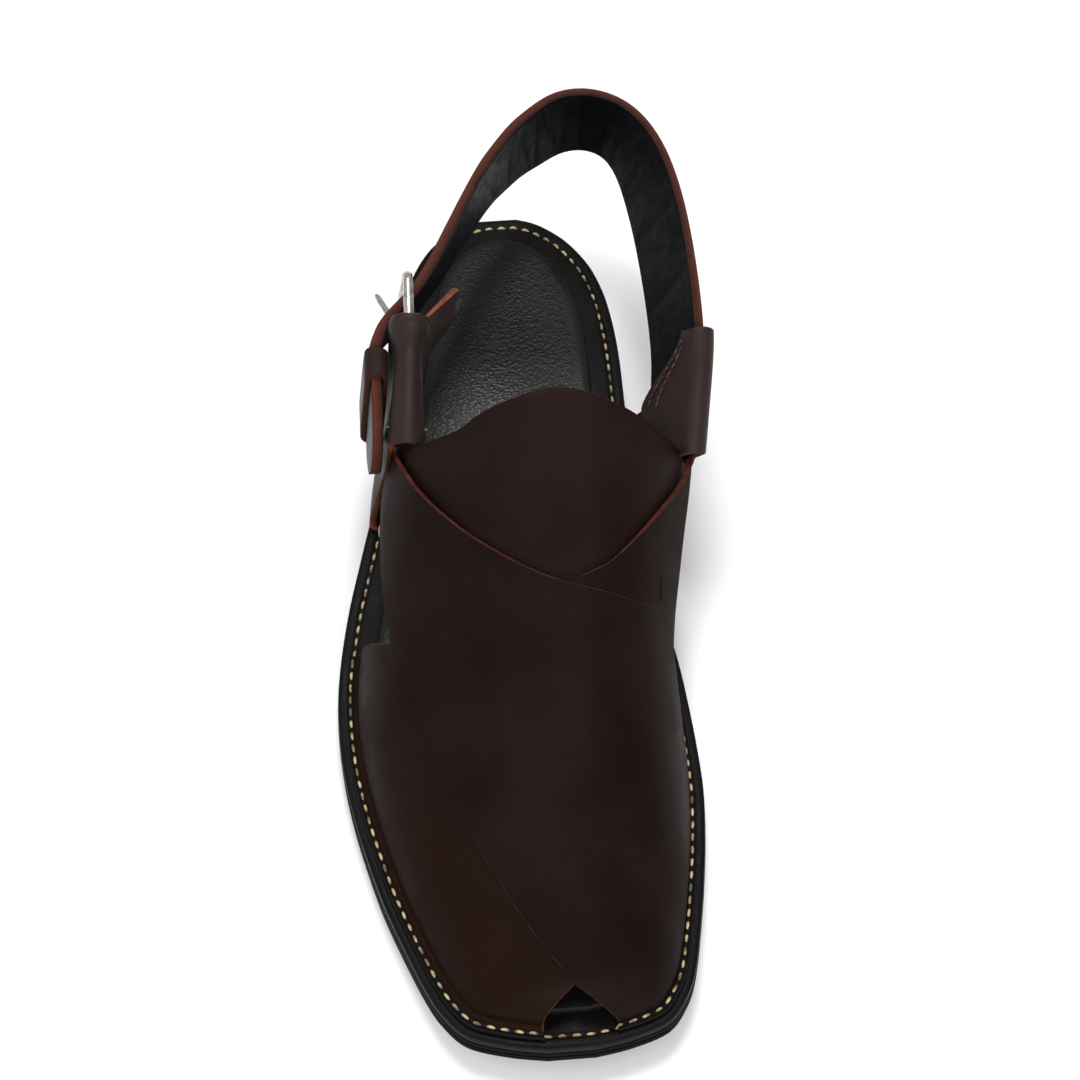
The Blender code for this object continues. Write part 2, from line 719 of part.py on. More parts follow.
def fold_frame(side, share):
    """Centre of a side strap's fold, the way its layers hang and the way out, front 0 to rear 1."""
    if side == MEDIAL:
        first_top, first_low = heel_strap_row(0.0)
        lead = SIDE_STRAP_LENGTH * MEDIAL_LEAD
        behind = share * SIDE_STRAP_LENGTH - lead
        if behind < 0.0:
            forward = (first_top - heel_strap_row(0.4)[0]).normalized()
            _, _, width, out = heel_strap_frame(0.0)
            return first_top - forward * behind, -width, out
        middle, _, width, out = heel_strap_frame(behind / HEEL_ROW_SPACING)
        return middle + width * 0.5 * STRAP_WIDTH, -width, out
    front, rear = share_place(LATERAL_FOLD_FRONT), share_place(LATERAL_FOLD_REAR)
    down = Vector(FOLD_HANG).normalized()
    out = (rear - front).cross(down).normalized()
    return front.lerp(rear, share), down, out


def share_place(shares):
    """A place from shares of ball width, sole length and ankle height."""
    return place(shares[0] * BALL_WIDTH, shares[1] * SOLE_LENGTH, shares[2] * ANKLE_HEIGHT)


def fold_radius(side, share):
    """Half width of a fold's middle layer at a share of its length."""
    if side == MEDIAL:
        return 0.5 * STRAP_THICKNESS + FOLD_CLEARANCE + 0.5 * SIDE_LEATHER
    return LATERAL_FOLD_RADIUS * at_station(LATERAL_FOLD_SWELL, share)[1]


def leg_points(side, share, foot, shoulder):
    """The wall of a side strap from its foot at the welt up to below the fold."""
    _, _, rise, fall, fall_way = LATERAL_LEG if side == LATERAL else MEDIAL_LEG
    reach = (shoulder - foot).length
    push = Vector((0.0, 0.0, 0.0))
    if side == LATERAL:
        middle = math.sin(math.pi * share) ** BULGE_SHARPNESS
        push.x = side * (LEG_FRONT_BULGE + (LEG_BULGE - LEG_FRONT_BULGE) * middle)
    up_start = foot + push + Vector((0.0, 0.0, rise * reach))
    up_end = shoulder + Vector(fall_way).normalized() * fall * reach
    steps = 7
    points = []
    for k in range(1, steps + 1):
        t = k / steps
        points.append(foot * (1 - t) ** 3 + up_start * 3 * t * (1 - t) ** 2
                      + up_end * 3 * t * t * (1 - t) + shoulder * t ** 3)
    return points


def side_strap_grid(side):
    """Mid-face of a side strap: flange, leg, fold over the top and the inner flap."""
    columns = 10
    leg = LATERAL_LEG if side == LATERAL else MEDIAL_LEG
    hang = LATERAL_HANG if side == LATERAL else MEDIAL_HANG
    insets = (FLANGE_EDGE_INSET, MEDIAL_CREASE_INSET)
    if side == LATERAL:
        insets = (LATERAL_FLANGE_INSET, LATERAL_FOOT_INSET)
    lift = SEAT + 0.5 * SIDE_LEATHER
    grid = []
    for j in range(columns + 1):
        share = j / columns
        radius = fold_radius(side, share)
        station = (leg[0] + (leg[1] - leg[0]) * share) * SOLE_LENGTH
        line = []
        for inset in insets:
            across = edge_across(side, station, inset)
            line.append(place(across, station, sole_top(station) + lift))
        centre, down, out = fold_frame(side, share)
        if out.x * side < 0.0:
            out = -out
        line += leg_points(side, share, line[-1], centre + out * radius + down * hang)
        for k in range(0, 9):
            angle = math.pi * k / 8.0
            line.append(centre + out * radius * math.cos(angle)
                        - down * radius * math.sin(angle))
        line += flap_points(side, share, centre - out * radius, down, out)
        grid.append(line)
    return grid


def flap_points(side, share, inner, down, out):
    """The inner layer below the fold, from the fold's edge to the flap's cut edge."""
    steps = 4
    if side == MEDIAL:
        cut = MEDIAL_FLAP_CUT * ease((share - MEDIAL_FLAP_FROM) / (1.0 - MEDIAL_FLAP_FROM))
        way = down * MEDIAL_FLAP * (1.0 - cut) - out * FLAP_SLANT
        return [inner + way * k / steps for k in range(1, steps + 1)]
    rearward = (fold_frame(side, 1.0)[0] - fold_frame(side, 0.0)[0]).normalized()
    swing = (rearward - out * TAB_INWARD) * TAB_REACH * share ** TAB_SHARPNESS
    grown = ease(share / LATERAL_FLAP_FULL)
    length = LATERAL_FLAP * (LATERAL_FLAP_FRONT + (1.0 - LATERAL_FLAP_FRONT) * grown)
    points = []
    for k in range(1, steps + 1):
        t = k / steps
        wave = max(math.sin(math.pi * min(t * TAB_WAVE, 1.0)), 0.0)
        points.append(inner + down * length * t + swing * wave)
    return points


def make_side_strap(side, name, collection):
    """A side strap: from the welt up the ankle, folded over and down inside."""
    grid = side_strap_grid(side)
    half = 0.5 * SIDE_LEATHER
    rows, columns = len(grid), len(grid[0])
    under, over = [], []
    for i in range(rows):
        low, high = [], []
        for j in range(columns):
            onward = grid[min(i + 1, rows - 1)][j] - grid[max(i - 1, 0)][j]
            across = grid[i][min(j + 1, columns - 1)] - grid[i][max(j - 1, 0)]
            normal = onward.cross(across).normalized()
            low.append(grid[i][j] - normal * half)
            high.append(grid[i][j] + normal * half)
        under.append(low)
        over.append(high)
    add_object(name, sheet_mesh(name, under, over),
               material(name + "_leather", (0.048, 0.027, 0.022), 0.60), collection)


def buckle_points():
    """Top of the frame's front bar, top of its rear bar, and the direction down its bars."""
    front = fold_frame(LATERAL, BUCKLE_FOLD_SHARE)[0]
    onward = (share_place(BUCKLE_REAR) - front).normalized()
    hang = Vector(BUCKLE_HANG)
    down = (hang - onward * hang.dot(onward)).normalized()
    return front, front + onward * BUCKLE_LENGTH, down


def tube_along(name, points, radius, cyclic, finish, collection):
    """A round wire through the points, as a mesh."""
    curve = bpy.data.curves.new(name, "CURVE")
    curve.dimensions = "3D"
    curve.bevel_depth = radius
    curve.bevel_resolution = 2
    curve.use_fill_caps = not cyclic
    spline = curve.splines.new("POLY")
    spline.points.add(len(points) - 1)
    for spot, point in zip(spline.points, points):
        spot.co = (*point, 1.0)
    spline.use_cyclic_u = cyclic
    holder = bpy.data.objects.new(name + "_curve", curve)
    collection.objects.link(holder)
    depsgraph = bpy.context.evaluated_depsgraph_get()
    mesh = bpy.data.meshes.new_from_object(holder.evaluated_get(depsgraph))
    body = bmesh.new()
    body.from_mesh(mesh)
    bmesh.ops.remove_doubles(body, verts=body.verts, dist=0.00001)
    bmesh.ops.recalc_face_normals(body, faces=body.faces)
    body.to_mesh(mesh)
    body.free()
    mesh.shade_smooth()
    bpy.data.objects.remove(holder, do_unlink=True)
    mesh.materials.clear()
    return add_object(name, mesh, finish, collection)


def make_buckle(collection):
    """The buckle's frame, a rounded rectangle of wire, hung in the lateral fold."""
    front, rear, down = buckle_points()
    corner = BUCKLE_CORNER
    onward = (rear - front).normalized()
    corners = [front, rear, rear + down * BUCKLE_HEIGHT, front + down * BUCKLE_HEIGHT]
    directions = [onward, down, -onward, -down]
    points = []
    for k, spot in enumerate(corners):
        ahead = directions[k]
        behind = directions[k - 1]
        centre = spot - behind * corner + ahead * corner
        for step in range(5):
            angle = 0.5 * math.pi * step / 4.0
            points.append(centre + behind * corner * math.sin(angle)
                          - ahead * corner * math.cos(angle))
    tube_along("buckle_frame", points, 0.5 * BUCKLE_WIRE, True,
               material("buckle_metal", (0.62, 0.61, 0.58), 0.28, 1.0), collection)


def prong_line():
    """Start at the frame's front bar and tip past the strap, on the outer side."""
    front, rear, down = buckle_points()
    onward = (rear - front).normalized()
    start = front + down * PRONG_SHARE * BUCKLE_HEIGHT
    start += onward * (0.5 * BUCKLE_WIRE + 0.5 * PRONG_WIRE + SEAT)
    return start, share_place(PRONG_TIP)


def make_prong(collection):
    """The buckle's prong, through the strap's hole and out past the rear bar."""
    start, end = prong_line()
    points = [start.lerp(end, k / 6.0) for k in range(7)]
    tube_along("buckle_prong", points, 0.5 * PRONG_WIRE, False,
               material("prong_metal", (0.60, 0.59, 0.56), 0.30, 1.0), collection)


def make_keeper(collection):
    """The leather keeper loop round the strap's tail, upright round the sloping strap."""
    across = 0.5 * STRAP_WIDTH + KEEPER_SLACK - KEEPER_CORNER
    through = 0.5 * (STRAP_THICKNESS + KEEPER_OUTER_SLACK + KEEPER_INNER_SLACK) - KEEPER_CORNER
    shift = 0.5 * (KEEPER_OUTER_SLACK - KEEPER_INNER_SLACK)
    count, spans = 4, 5
    ring = []
    for sx, sy, turn in ((1, 1, 0.0), (-1, 1, 0.5), (-1, -1, 1.0), (1, -1, 1.5)):
        for k in range(count):
            angle = math.pi * (turn + 0.5 * k / (count - 1))
            ring.append((sx * across, sy * through, angle))
        if sx == sy:
            for k in range(1, spans):
                ring.append((sx * across * (1.0 - 2.0 * k / spans), sy * through, angle))
    points, faces = [], []
    ends = (-0.5, 0.0, 0.5)
    for thickness in (0.0, KEEPER_LEATHER):
        for end in ends:
            for spot, level, angle in ring:
                grow = KEEPER_CORNER + thickness
                up = spot + grow * math.cos(angle)
                run = KEEPER_WIDTH * end - KEEPER_LEAN * up
                row = KEEPER_ROW + run / KEEPER_ROW_LENGTH
                middle, _, width, out = heel_strap_frame(row)
                points.append(middle + width * up
                              + out * (shift + level + grow * math.sin(angle)))
    size = len(ring)
    loops = [0, size, 2 * size, 5 * size, 4 * size, 3 * size]
    for a, b in zip(loops, loops[1:] + loops[:1]):
        for k in range(size):
            nxt = (k + 1) % size
            faces.append((a + k, a + nxt, b + nxt, b + k))
    add_object("keeper", mesh_from("keeper", points, faces),
               material("keeper_leather", (0.050, 0.028, 0.023), 0.60), collection)


def main():
    """Build every sub-part into its collection."""
    clear_scene()
    parts = bpy.data.collections.new("strapped_sandal")
    cutters = bpy.data.collections.new("cutters")
    bpy.context.scene.collection.children.link(parts)
    bpy.context.scene.collection.children.link(cutters)
    make_outsole(parts)
    make_heel(parts)
    make_welt(parts)
    make_insole(parts)
    make_upper(parts)
    make_tongue(parts)
    make_side_strap(LATERAL, "lateral_side_strap", parts)
    make_side_strap(MEDIAL, "medial_side_strap", parts)
    make_heel_strap(parts, cutters)
    make_keeper(parts)
    make_buckle(parts)
    make_prong(parts)


main()
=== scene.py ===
import math
import random

import bmesh
import bpy
import numpy as np
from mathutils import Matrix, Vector


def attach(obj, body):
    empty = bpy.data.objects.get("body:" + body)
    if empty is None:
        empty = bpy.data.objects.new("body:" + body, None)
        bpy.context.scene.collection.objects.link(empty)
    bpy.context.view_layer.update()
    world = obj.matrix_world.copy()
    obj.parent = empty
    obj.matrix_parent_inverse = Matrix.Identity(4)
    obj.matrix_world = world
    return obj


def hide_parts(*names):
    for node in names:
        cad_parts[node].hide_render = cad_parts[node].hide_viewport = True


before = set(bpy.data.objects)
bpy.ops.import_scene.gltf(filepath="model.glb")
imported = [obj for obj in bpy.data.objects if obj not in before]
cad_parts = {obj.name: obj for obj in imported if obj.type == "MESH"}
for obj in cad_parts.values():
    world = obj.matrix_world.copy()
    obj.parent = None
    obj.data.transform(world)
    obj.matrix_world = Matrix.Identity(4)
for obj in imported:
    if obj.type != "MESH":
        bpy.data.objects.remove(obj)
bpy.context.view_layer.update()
print("frame loaded:", len(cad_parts), "nodes")

lateral, medial = -1, 1

# camera first: the angle, distance and lens of the picture
view = dict(azimuth=-4.6, elevation=59.0, distance=0.8, lens=85.3, sensor=36.0, aim=(0.0050, -0.0798, 0.0100))

# sizes of the last and the sole, metres
sole = dict(
    length=0.283, ballWidth=0.105, heelLength=0.072, heelBack=0.035, heelStack=0.026, foreStack=0.0125,
    toeTopRise=0.004, toeSpring=0.007, weltThickness=0.0031, insoleThickness=0.0026, insoleCrown=0.0008,
    seat=0.0003, heelInset=0.0012, insoleInset=0.0105, edgeRound=0.0011, sideGroove=0.0008,
)

# station, lateral and medial half widths: shares of sole length and ball width
soleOutline = [
    (0.000, 0.060, 0.060), (0.010, 0.130, 0.126), (0.035, 0.215, 0.206), (0.071, 0.275, 0.270),
    (0.106, 0.303, 0.304), (0.141, 0.320, 0.322), (0.194, 0.350, 0.334), (0.265, 0.386, 0.336),
    (0.353, 0.429, 0.338), (0.424, 0.481, 0.343), (0.495, 0.533, 0.371), (0.565, 0.568, 0.411),
    (0.618, 0.576, 0.427), (0.671, 0.569, 0.437), (0.724, 0.547, 0.441), (0.777, 0.514, 0.430),
    (0.830, 0.474, 0.410), (0.883, 0.422, 0.384), (0.926, 0.375, 0.358), (0.954, 0.334, 0.326),
    (0.979, 0.271, 0.271), (0.993, 0.162, 0.171), (1.000, 0.060, 0.070),
]

# station, share of heel lift, share of toe rise, share of toe spring
footbed = [
    (0.000, 1.00, 0.00, 0.00), (0.212, 1.00, 0.00, 0.00), (0.318, 0.78, 0.00, 0.00),
    (0.424, 0.47, 0.00, 0.00), (0.530, 0.14, 0.00, 0.00), (0.594, 0.00, 0.00, 0.00),
    (0.760, 0.00, 0.00, 0.00), (0.883, 0.00, 0.37, 0.33), (1.000, 0.00, 1.00, 1.00),
]


def readTable(table, rows):
    # Catmull-Rom reading at fractional rows
    data = np.array(table, dtype=float)
    last = len(data) - 1
    rows = np.clip(np.atleast_1d(np.asarray(rows, dtype=float)), 0.0, last)
    k = np.minimum(rows.astype(int), last - 1)
    t = (rows - k)[:, None]
    a, b, c, d = data[np.maximum(k - 1, 0)], data[k], data[k + 1], data[np.minimum(k + 2, last)]
    return (b + 0.5 * t * (c - a) + t * t * (a - 2.5 * b + 2.0 * c - 0.5 * d)
            + t ** 3 * (-0.5 * a + 1.5 * b - 1.5 * c + 0.5 * d))


def stationReader(table):
    # values of a table against the share of the sole's length
    rows = np.linspace(0.0, len(table) - 1.0, 40 * len(table))
    values = readTable(table, rows)
    shares = np.maximum.accumulate(values[:, 0])

    def read(station, column):
        return np.interp(np.asarray(station) / sole["length"], shares, values[:, column])
    return read


readFootbed = stationReader(footbed)


def ease(value):
    value = np.clip(value, 0.0, 1.0)
    return value * value * (3.0 - 2.0 * value)


def bell(distance, width):
    return np.exp(-0.5 * (distance / width) ** 2)


def softMarks(marks, across, station):
    # height of a table's soft troughs and ridges at places seen from above
    total = np.zeros(np.shape(across))
    for mark in marks:
        dx, ds = across - mark["across"], station - mark["station"]
        away = dx * math.cos(mark["turn"]) + ds * math.sin(mark["turn"])
        along = ds * math.cos(mark["turn"]) - dx * math.sin(mark["turn"])
        total = total + mark["depth"] * bell(away, mark["width"]) * bell(along, mark["length"])
    return total


def soleTop(station):
    lift = (sole["heelStack"] - sole["foreStack"]) * np.clip(readFootbed(station, 1), 0.0, 1.0)
    return sole["foreStack"] + lift + sole["toeTopRise"] * np.maximum(readFootbed(station, 2), 0.0)


def soleBottom(station):
    lift = (sole["heelStack"] - sole["foreStack"]) * np.clip(readFootbed(station, 1), 0.0, 1.0)
    return lift + sole["toeSpring"] * np.maximum(readFootbed(station, 3), 0.0)


def edgePoints(side, rows, inset):
    # across and station of the sole's edge, moved inwards
    def raw(at):
        values = readTable(soleOutline, at)
        width = values[:, 1] if side < 0 else values[:, 2]
        return np.stack((side * width * sole["ballWidth"], values[:, 0] * sole["length"]), axis=1)
    rows = np.atleast_1d(np.asarray(rows, dtype=float))
    ahead = raw(rows + 0.04) - raw(rows - 0.04)
    inward = np.stack((-side * ahead[:, 1], side * ahead[:, 0]), axis=1)
    inward /= np.linalg.norm(inward, axis=1)[:, None]
    return raw(rows) + inward * inset


lastRow = len(soleOutline) - 1.0
edgeCache = {}


def edgeAcross(side, station, inset):
    key = (side, round(inset, 6))
    if key not in edgeCache:
        points = edgePoints(side, np.linspace(1.0, lastRow, 900), inset)
        edgeCache[key] = (np.maximum.accumulate(points[:, 1]), points[:, 0])
    stations, across = edgeCache[key]
    return np.interp(station, stations, across)


def edgeRow(side, station, inset):
    rows = np.linspace(1.0, lastRow, 900)
    return float(np.interp(station, np.maximum.accumulate(edgePoints(side, rows, inset)[:, 1]), rows))


def place(across, station, height):
    # one point or arrays of points in the shoe's frame
    across, station, height = np.broadcast_arrays(across, station, height)
    return np.stack((across, sole["heelBack"] - station, height), axis=-1).astype(float)


def unit(vectors):
    return vectors / np.maximum(np.linalg.norm(vectors, axis=-1, keepdims=True), 1e-12)


def gridNormals(grid, outwards):
    onward = np.gradient(grid, axis=0)
    across = np.gradient(grid, axis=1)
    normals = unit(np.cross(onward, across))
    middle = normals[grid.shape[0] // 2, grid.shape[1] // 2]
    return -normals if np.dot(middle, outwards) < 0.0 else normals


def readRun(points, shares):
    # points at shares of the length of a polyline
    points = np.asarray(points, dtype=float)
    steps = np.linalg.norm(np.diff(points, axis=0), axis=1)
    length = np.concatenate(([0.0], np.cumsum(steps)))
    at = np.asarray(shares) * length[-1]
    return np.stack([np.interp(at, length, points[:, c]) for c in range(points.shape[1])], axis=-1)


# shader groups shared by the materials
def newGroup(name, inputs, outputs):
    tree = bpy.data.node_groups.new(name, "ShaderNodeTree")
    for label, kind, value in inputs:
        socket = tree.interface.new_socket(label, in_out="INPUT", socket_type=kind)
        if value is not None:
            socket.default_value = value
    for label, kind in outputs:
        tree.interface.new_socket(label, in_out="OUTPUT", socket_type=kind)
    return tree, tree.nodes.new("NodeGroupInput"), tree.nodes.new("NodeGroupOutput")


def addNode(tree, kind, settings=None, **values):
    node = tree.nodes.new("ShaderNode" + kind)
    for key, value in (settings or {}).items():
        setattr(node, key, value)
    for key, value in values.items():
        node.inputs[key.replace("_", " ")].default_value = value
    return node


def mathNode(tree, operation, first, second=None):
    node = addNode(tree, "Math", dict(operation=operation))
    for k, value in enumerate((first, second)):
        if value is None:
            continue
        if isinstance(value, (int, float)):
            node.inputs[k].default_value = value
        else:
            tree.links.new(value, node.inputs[k])
    return node.outputs[0]


def rangeNode(tree, value, low, high, outLow=0.0, outHigh=1.0):
    node = addNode(tree, "MapRange", dict(interpolation_type="SMOOTHSTEP"))
    tree.links.new(value, node.inputs["Value"])
    for key, number in (("From Min", low), ("From Max", high), ("To Min", outLow), ("To Max", outHigh)):
        node.inputs[key].default_value = number
    return node.outputs["Result"]


def mixColour(tree, factor, first, second):
    node = addNode(tree, "Mix", dict(data_type="RGBA", blend_type="MIX"))
    for socket, value in ((node.inputs[0], factor), (node.inputs[6], first), (node.inputs[7], second)):
        if isinstance(value, (int, float)):
            socket.default_value = value
        elif isinstance(value, tuple):
            socket.default_value = (*value, 1.0)
        else:
            tree.links.new(value, socket)
    return node.outputs[2]


def makeGrainGroup():
    # fine leather grain: creased cells, pores and a slow mottle
    tree, start, end = newGroup(
        "leatherGrain",
        [("Vector", "NodeSocketVector", None), ("Scale", "NodeSocketFloat", 1500.0)],
        [("Height", "NodeSocketFloat"), ("Mottle", "NodeSocketFloat")])
    warp = addNode(tree, "TexNoise", Scale=420.0, Detail=3.0)
    tree.links.new(start.outputs["Vector"], warp.inputs["Vector"])
    push = addNode(tree, "VectorMath", dict(operation="MULTIPLY_ADD"))
    tree.links.new(warp.outputs["Color"], push.inputs[0])
    push.inputs[1].default_value = (0.0008, 0.0008, 0.0008)
    tree.links.new(start.outputs["Vector"], push.inputs[2])
    cells = addNode(tree, "TexVoronoi", dict(feature="DISTANCE_TO_EDGE"), Randomness=1.0)
    tree.links.new(push.outputs[0], cells.inputs["Vector"])
    tree.links.new(start.outputs["Scale"], cells.inputs["Scale"])
    plump = rangeNode(tree, cells.outputs["Distance"], 0.0, 0.35)
    fine = addNode(tree, "TexNoise", Detail=4.0, Roughness=0.6)
    tree.links.new(start.outputs["Vector"], fine.inputs["Vector"])
    tree.links.new(mathNode(tree, "MULTIPLY", start.outputs["Scale"], 1.7), fine.inputs["Scale"])
    slow = addNode(tree, "TexNoise", Scale=38.0, Detail=3.0, Roughness=0.55)
    tree.links.new(start.outputs["Vector"], slow.inputs["Vector"])
    pores = addNode(tree, "TexVoronoi", dict(feature="F1"), Scale=900.0, Randomness=1.0)
    tree.links.new(start.outputs["Vector"], pores.inputs["Vector"])
    dots = rangeNode(tree, pores.outputs["Distance"], 0.10, 0.22, 1.0, 0.0)
    height = mathNode(tree, "ADD", mathNode(tree, "MULTIPLY", plump, 0.55),
                      mathNode(tree, "MULTIPLY", fine.outputs["Fac"], 0.45))
    height = mathNode(tree, "SUBTRACT", height, mathNode(tree, "MULTIPLY", dots, 0.25))
    tree.links.new(height, end.inputs["Height"])
    tree.links.new(rangeNode(tree, slow.outputs["Fac"], 0.32, 0.68), end.inputs["Mottle"])
    return tree


def makeFibreGroup():
    # the rough face of cut leather: layers and loose fibres
    tree, start, end = newGroup(
        "cutFibres",
        [("Vector", "NodeSocketVector", None), ("Scale", "NodeSocketFloat", 900.0)],
        [("Height", "NodeSocketFloat"), ("Streak", "NodeSocketFloat")])
    coarse = addNode(tree, "TexNoise", Detail=5.0, Roughness=0.7, Distortion=0.6)
    tree.links.new(start.outputs["Vector"], coarse.inputs["Vector"])
    tree.links.new(start.outputs["Scale"], coarse.inputs["Scale"])
    patch = addNode(tree, "TexNoise", Scale=160.0, Detail=2.0)
    tree.links.new(start.outputs["Vector"], patch.inputs["Vector"])
    streak = mathNode(tree, "ADD", mathNode(tree, "MULTIPLY", coarse.outputs["Fac"], 0.6),
                      mathNode(tree, "MULTIPLY", patch.outputs["Fac"], 0.4))
    tree.links.new(coarse.outputs["Fac"], end.inputs["Height"])
    tree.links.new(rangeNode(tree, streak, 0.35, 0.66), end.inputs["Streak"])
    return tree


def makeDustGroup():
    # sparse pale specks and a thin haze of handling
    tree, start, end = newGroup(
        "fineDust",
        [("Vector", "NodeSocketVector", None), ("Amount", "NodeSocketFloat", 0.3)],
        [("Mask", "NodeSocketFloat"), ("Haze", "NodeSocketFloat")])
    specks = addNode(tree, "TexVoronoi", dict(feature="F1"), Scale=620.0, Randomness=1.0)
    tree.links.new(start.outputs["Vector"], specks.inputs["Vector"])
    dot = rangeNode(tree, specks.outputs["Distance"], 0.035, 0.085, 1.0, 0.0)
    thin = addNode(tree, "TexNoise", Scale=75.0, Detail=2.0)
    tree.links.new(start.outputs["Vector"], thin.inputs["Vector"])
    patches = rangeNode(tree, thin.outputs["Fac"], 0.56, 0.70)
    mask = mathNode(tree, "MULTIPLY", mathNode(tree, "MULTIPLY", dot, patches), start.outputs["Amount"])
    tree.links.new(mask, end.inputs["Mask"])
    tree.links.new(mathNode(tree, "MULTIPLY", patches, start.outputs["Amount"]), end.inputs["Haze"])
    return tree


def makePebbleGroup():
    # pressed pebble grain of the insole; the insole material also uses its valley mask for painted shade in
    # the valleys
    tree, start, end = newGroup(
        "pebbleGrain",
        [("Vector", "NodeSocketVector", None), ("Scale", "NodeSocketFloat", 620.0)],
        [("Height", "NodeSocketFloat"), ("Valley", "NodeSocketFloat")])
    warp = addNode(tree, "TexNoise", Scale=300.0, Detail=2.0)
    tree.links.new(start.outputs["Vector"], warp.inputs["Vector"])
    push = addNode(tree, "VectorMath", dict(operation="MULTIPLY_ADD"))
    tree.links.new(warp.outputs["Color"], push.inputs[0])
    push.inputs[1].default_value = (0.0007, 0.0007, 0.0007)
    tree.links.new(start.outputs["Vector"], push.inputs[2])
    cells = addNode(tree, "TexVoronoi", dict(feature="SMOOTH_F1"), Randomness=0.9, Smoothness=0.25)
    tree.links.new(push.outputs[0], cells.inputs["Vector"])
    tree.links.new(start.outputs["Scale"], cells.inputs["Scale"])
    dome = rangeNode(tree, cells.outputs["Distance"], 0.15, 0.75, 1.0, 0.0)
    fine = addNode(tree, "TexNoise", Scale=2600.0, Detail=2.0)
    tree.links.new(start.outputs["Vector"], fine.inputs["Vector"])
    height = mathNode(tree, "ADD", dome, mathNode(tree, "MULTIPLY", fine.outputs["Fac"], 0.10))
    tree.links.new(height, end.inputs["Height"])
    tree.links.new(mathNode(tree, "SUBTRACT", 1.0, dome), end.inputs["Valley"])
    return tree


groups = dict(grain=makeGrainGroup(), fibre=makeFibreGroup(), dust=makeDustGroup(), pebble=makePebbleGroup())
print("shader groups built")


def newMaterial(name):
    made = bpy.data.materials.new(name)
    made.use_nodes = True
    tree = made.node_tree
    shader = tree.nodes["Principled BSDF"]
    where = addNode(tree, "TexCoord").outputs["Object"]
    return made, tree, shader, where


def placeGroup(tree, key, where, **values):
    node = addNode(tree, "Group", dict(node_tree=groups[key]), **values)
    tree.links.new(where, node.inputs["Vector"])
    return node


def attributeOf(tree, name):
    return addNode(tree, "Attribute", dict(attribute_name=name)).outputs["Fac"]


def bumpInto(tree, shader, height, strength, distance):
    bump = addNode(tree, "Bump", Strength=strength, Distance=distance)
    tree.links.new(height, bump.inputs["Height"])
    tree.links.new(bump.outputs["Normal"], shader.inputs["Normal"])


# colours and finish of each leather
leathers = dict(
    vamp=dict(dark=(0.0064, 0.0028, 0.0021), light=(0.0102, 0.0047, 0.0034), warm=(0.0105, 0.0034, 0.0012),
              rough=(0.46, 0.60), grain=1500.0, bump=0.16, gloss=0.050),
    tongue=dict(dark=(0.0080, 0.0034, 0.0028), light=(0.0118, 0.0054, 0.0046), warm=(0.0210, 0.0078, 0.0048),
                rough=(0.48, 0.62), grain=1500.0, bump=0.16, gloss=0.060),
    strap=dict(dark=(0.0110, 0.0056, 0.0046), light=(0.0180, 0.0095, 0.0078), warm=(0.0300, 0.0110, 0.0070),
               rough=(0.42, 0.54), grain=1350.0, bump=0.20, gloss=0.110),
    fold=dict(dark=(0.0125, 0.0068, 0.0058), light=(0.0200, 0.0112, 0.0096), warm=(0.0300, 0.0110, 0.0070),
              rough=(0.44, 0.54), grain=1350.0, bump=0.18, gloss=0.185),
)


def makeLeather(name, look):
    made, tree, shader, where = newMaterial(name)
    grain = placeGroup(tree, "grain", where, Scale=look["grain"])
    dust = placeGroup(tree, "dust", where, Amount=0.30)
    body = mixColour(tree, grain.outputs["Mottle"], look["dark"], look["light"])
    body = mixColour(tree, attributeOf(tree, "warmth"), body, look["warm"])
    body = mixColour(tree, attributeOf(tree, "dye"), body, (0.0035, 0.0033, 0.0034))
    body = mixColour(tree, dust.outputs["Mask"], body, (0.11, 0.10, 0.09))
    tree.links.new(body, shader.inputs["Base Color"])
    low, high = look["rough"]
    rough = rangeNode(tree, grain.outputs["Mottle"], 0.0, 1.0, low, high)
    tree.links.new(mathNode(tree, "ADD", rough, mathNode(tree, "MULTIPLY", dust.outputs["Haze"], 0.15)),
                   shader.inputs["Roughness"])
    shader.inputs["Specular IOR Level"].default_value = look["gloss"]
    bumpInto(tree, shader, grain.outputs["Height"], look["bump"], 0.00012)
    return made


def makeCutEdge(name, deep, bright, rough=0.75):
    made, tree, shader, where = newMaterial(name)
    fibre = placeGroup(tree, "fibre", where, Scale=1100.0)
    tone = mixColour(tree, fibre.outputs["Streak"], deep, bright)
    tone = mixColour(tree, attributeOf(tree, "warmth"), tone, (0.125, 0.030, 0.016))
    tone = mixColour(tree, attributeOf(tree, "dye"), tone, (0.004, 0.004, 0.004))
    tree.links.new(tone, shader.inputs["Base Color"])
    tree.links.new(rangeNode(tree, fibre.outputs["Streak"], 0.0, 1.0, rough, rough + 0.12),
                   shader.inputs["Roughness"])
    shader.inputs["Specular IOR Level"].default_value = 0.12
    bumpInto(tree, shader, fibre.outputs["Height"], 0.55, 0.00025)
    return made


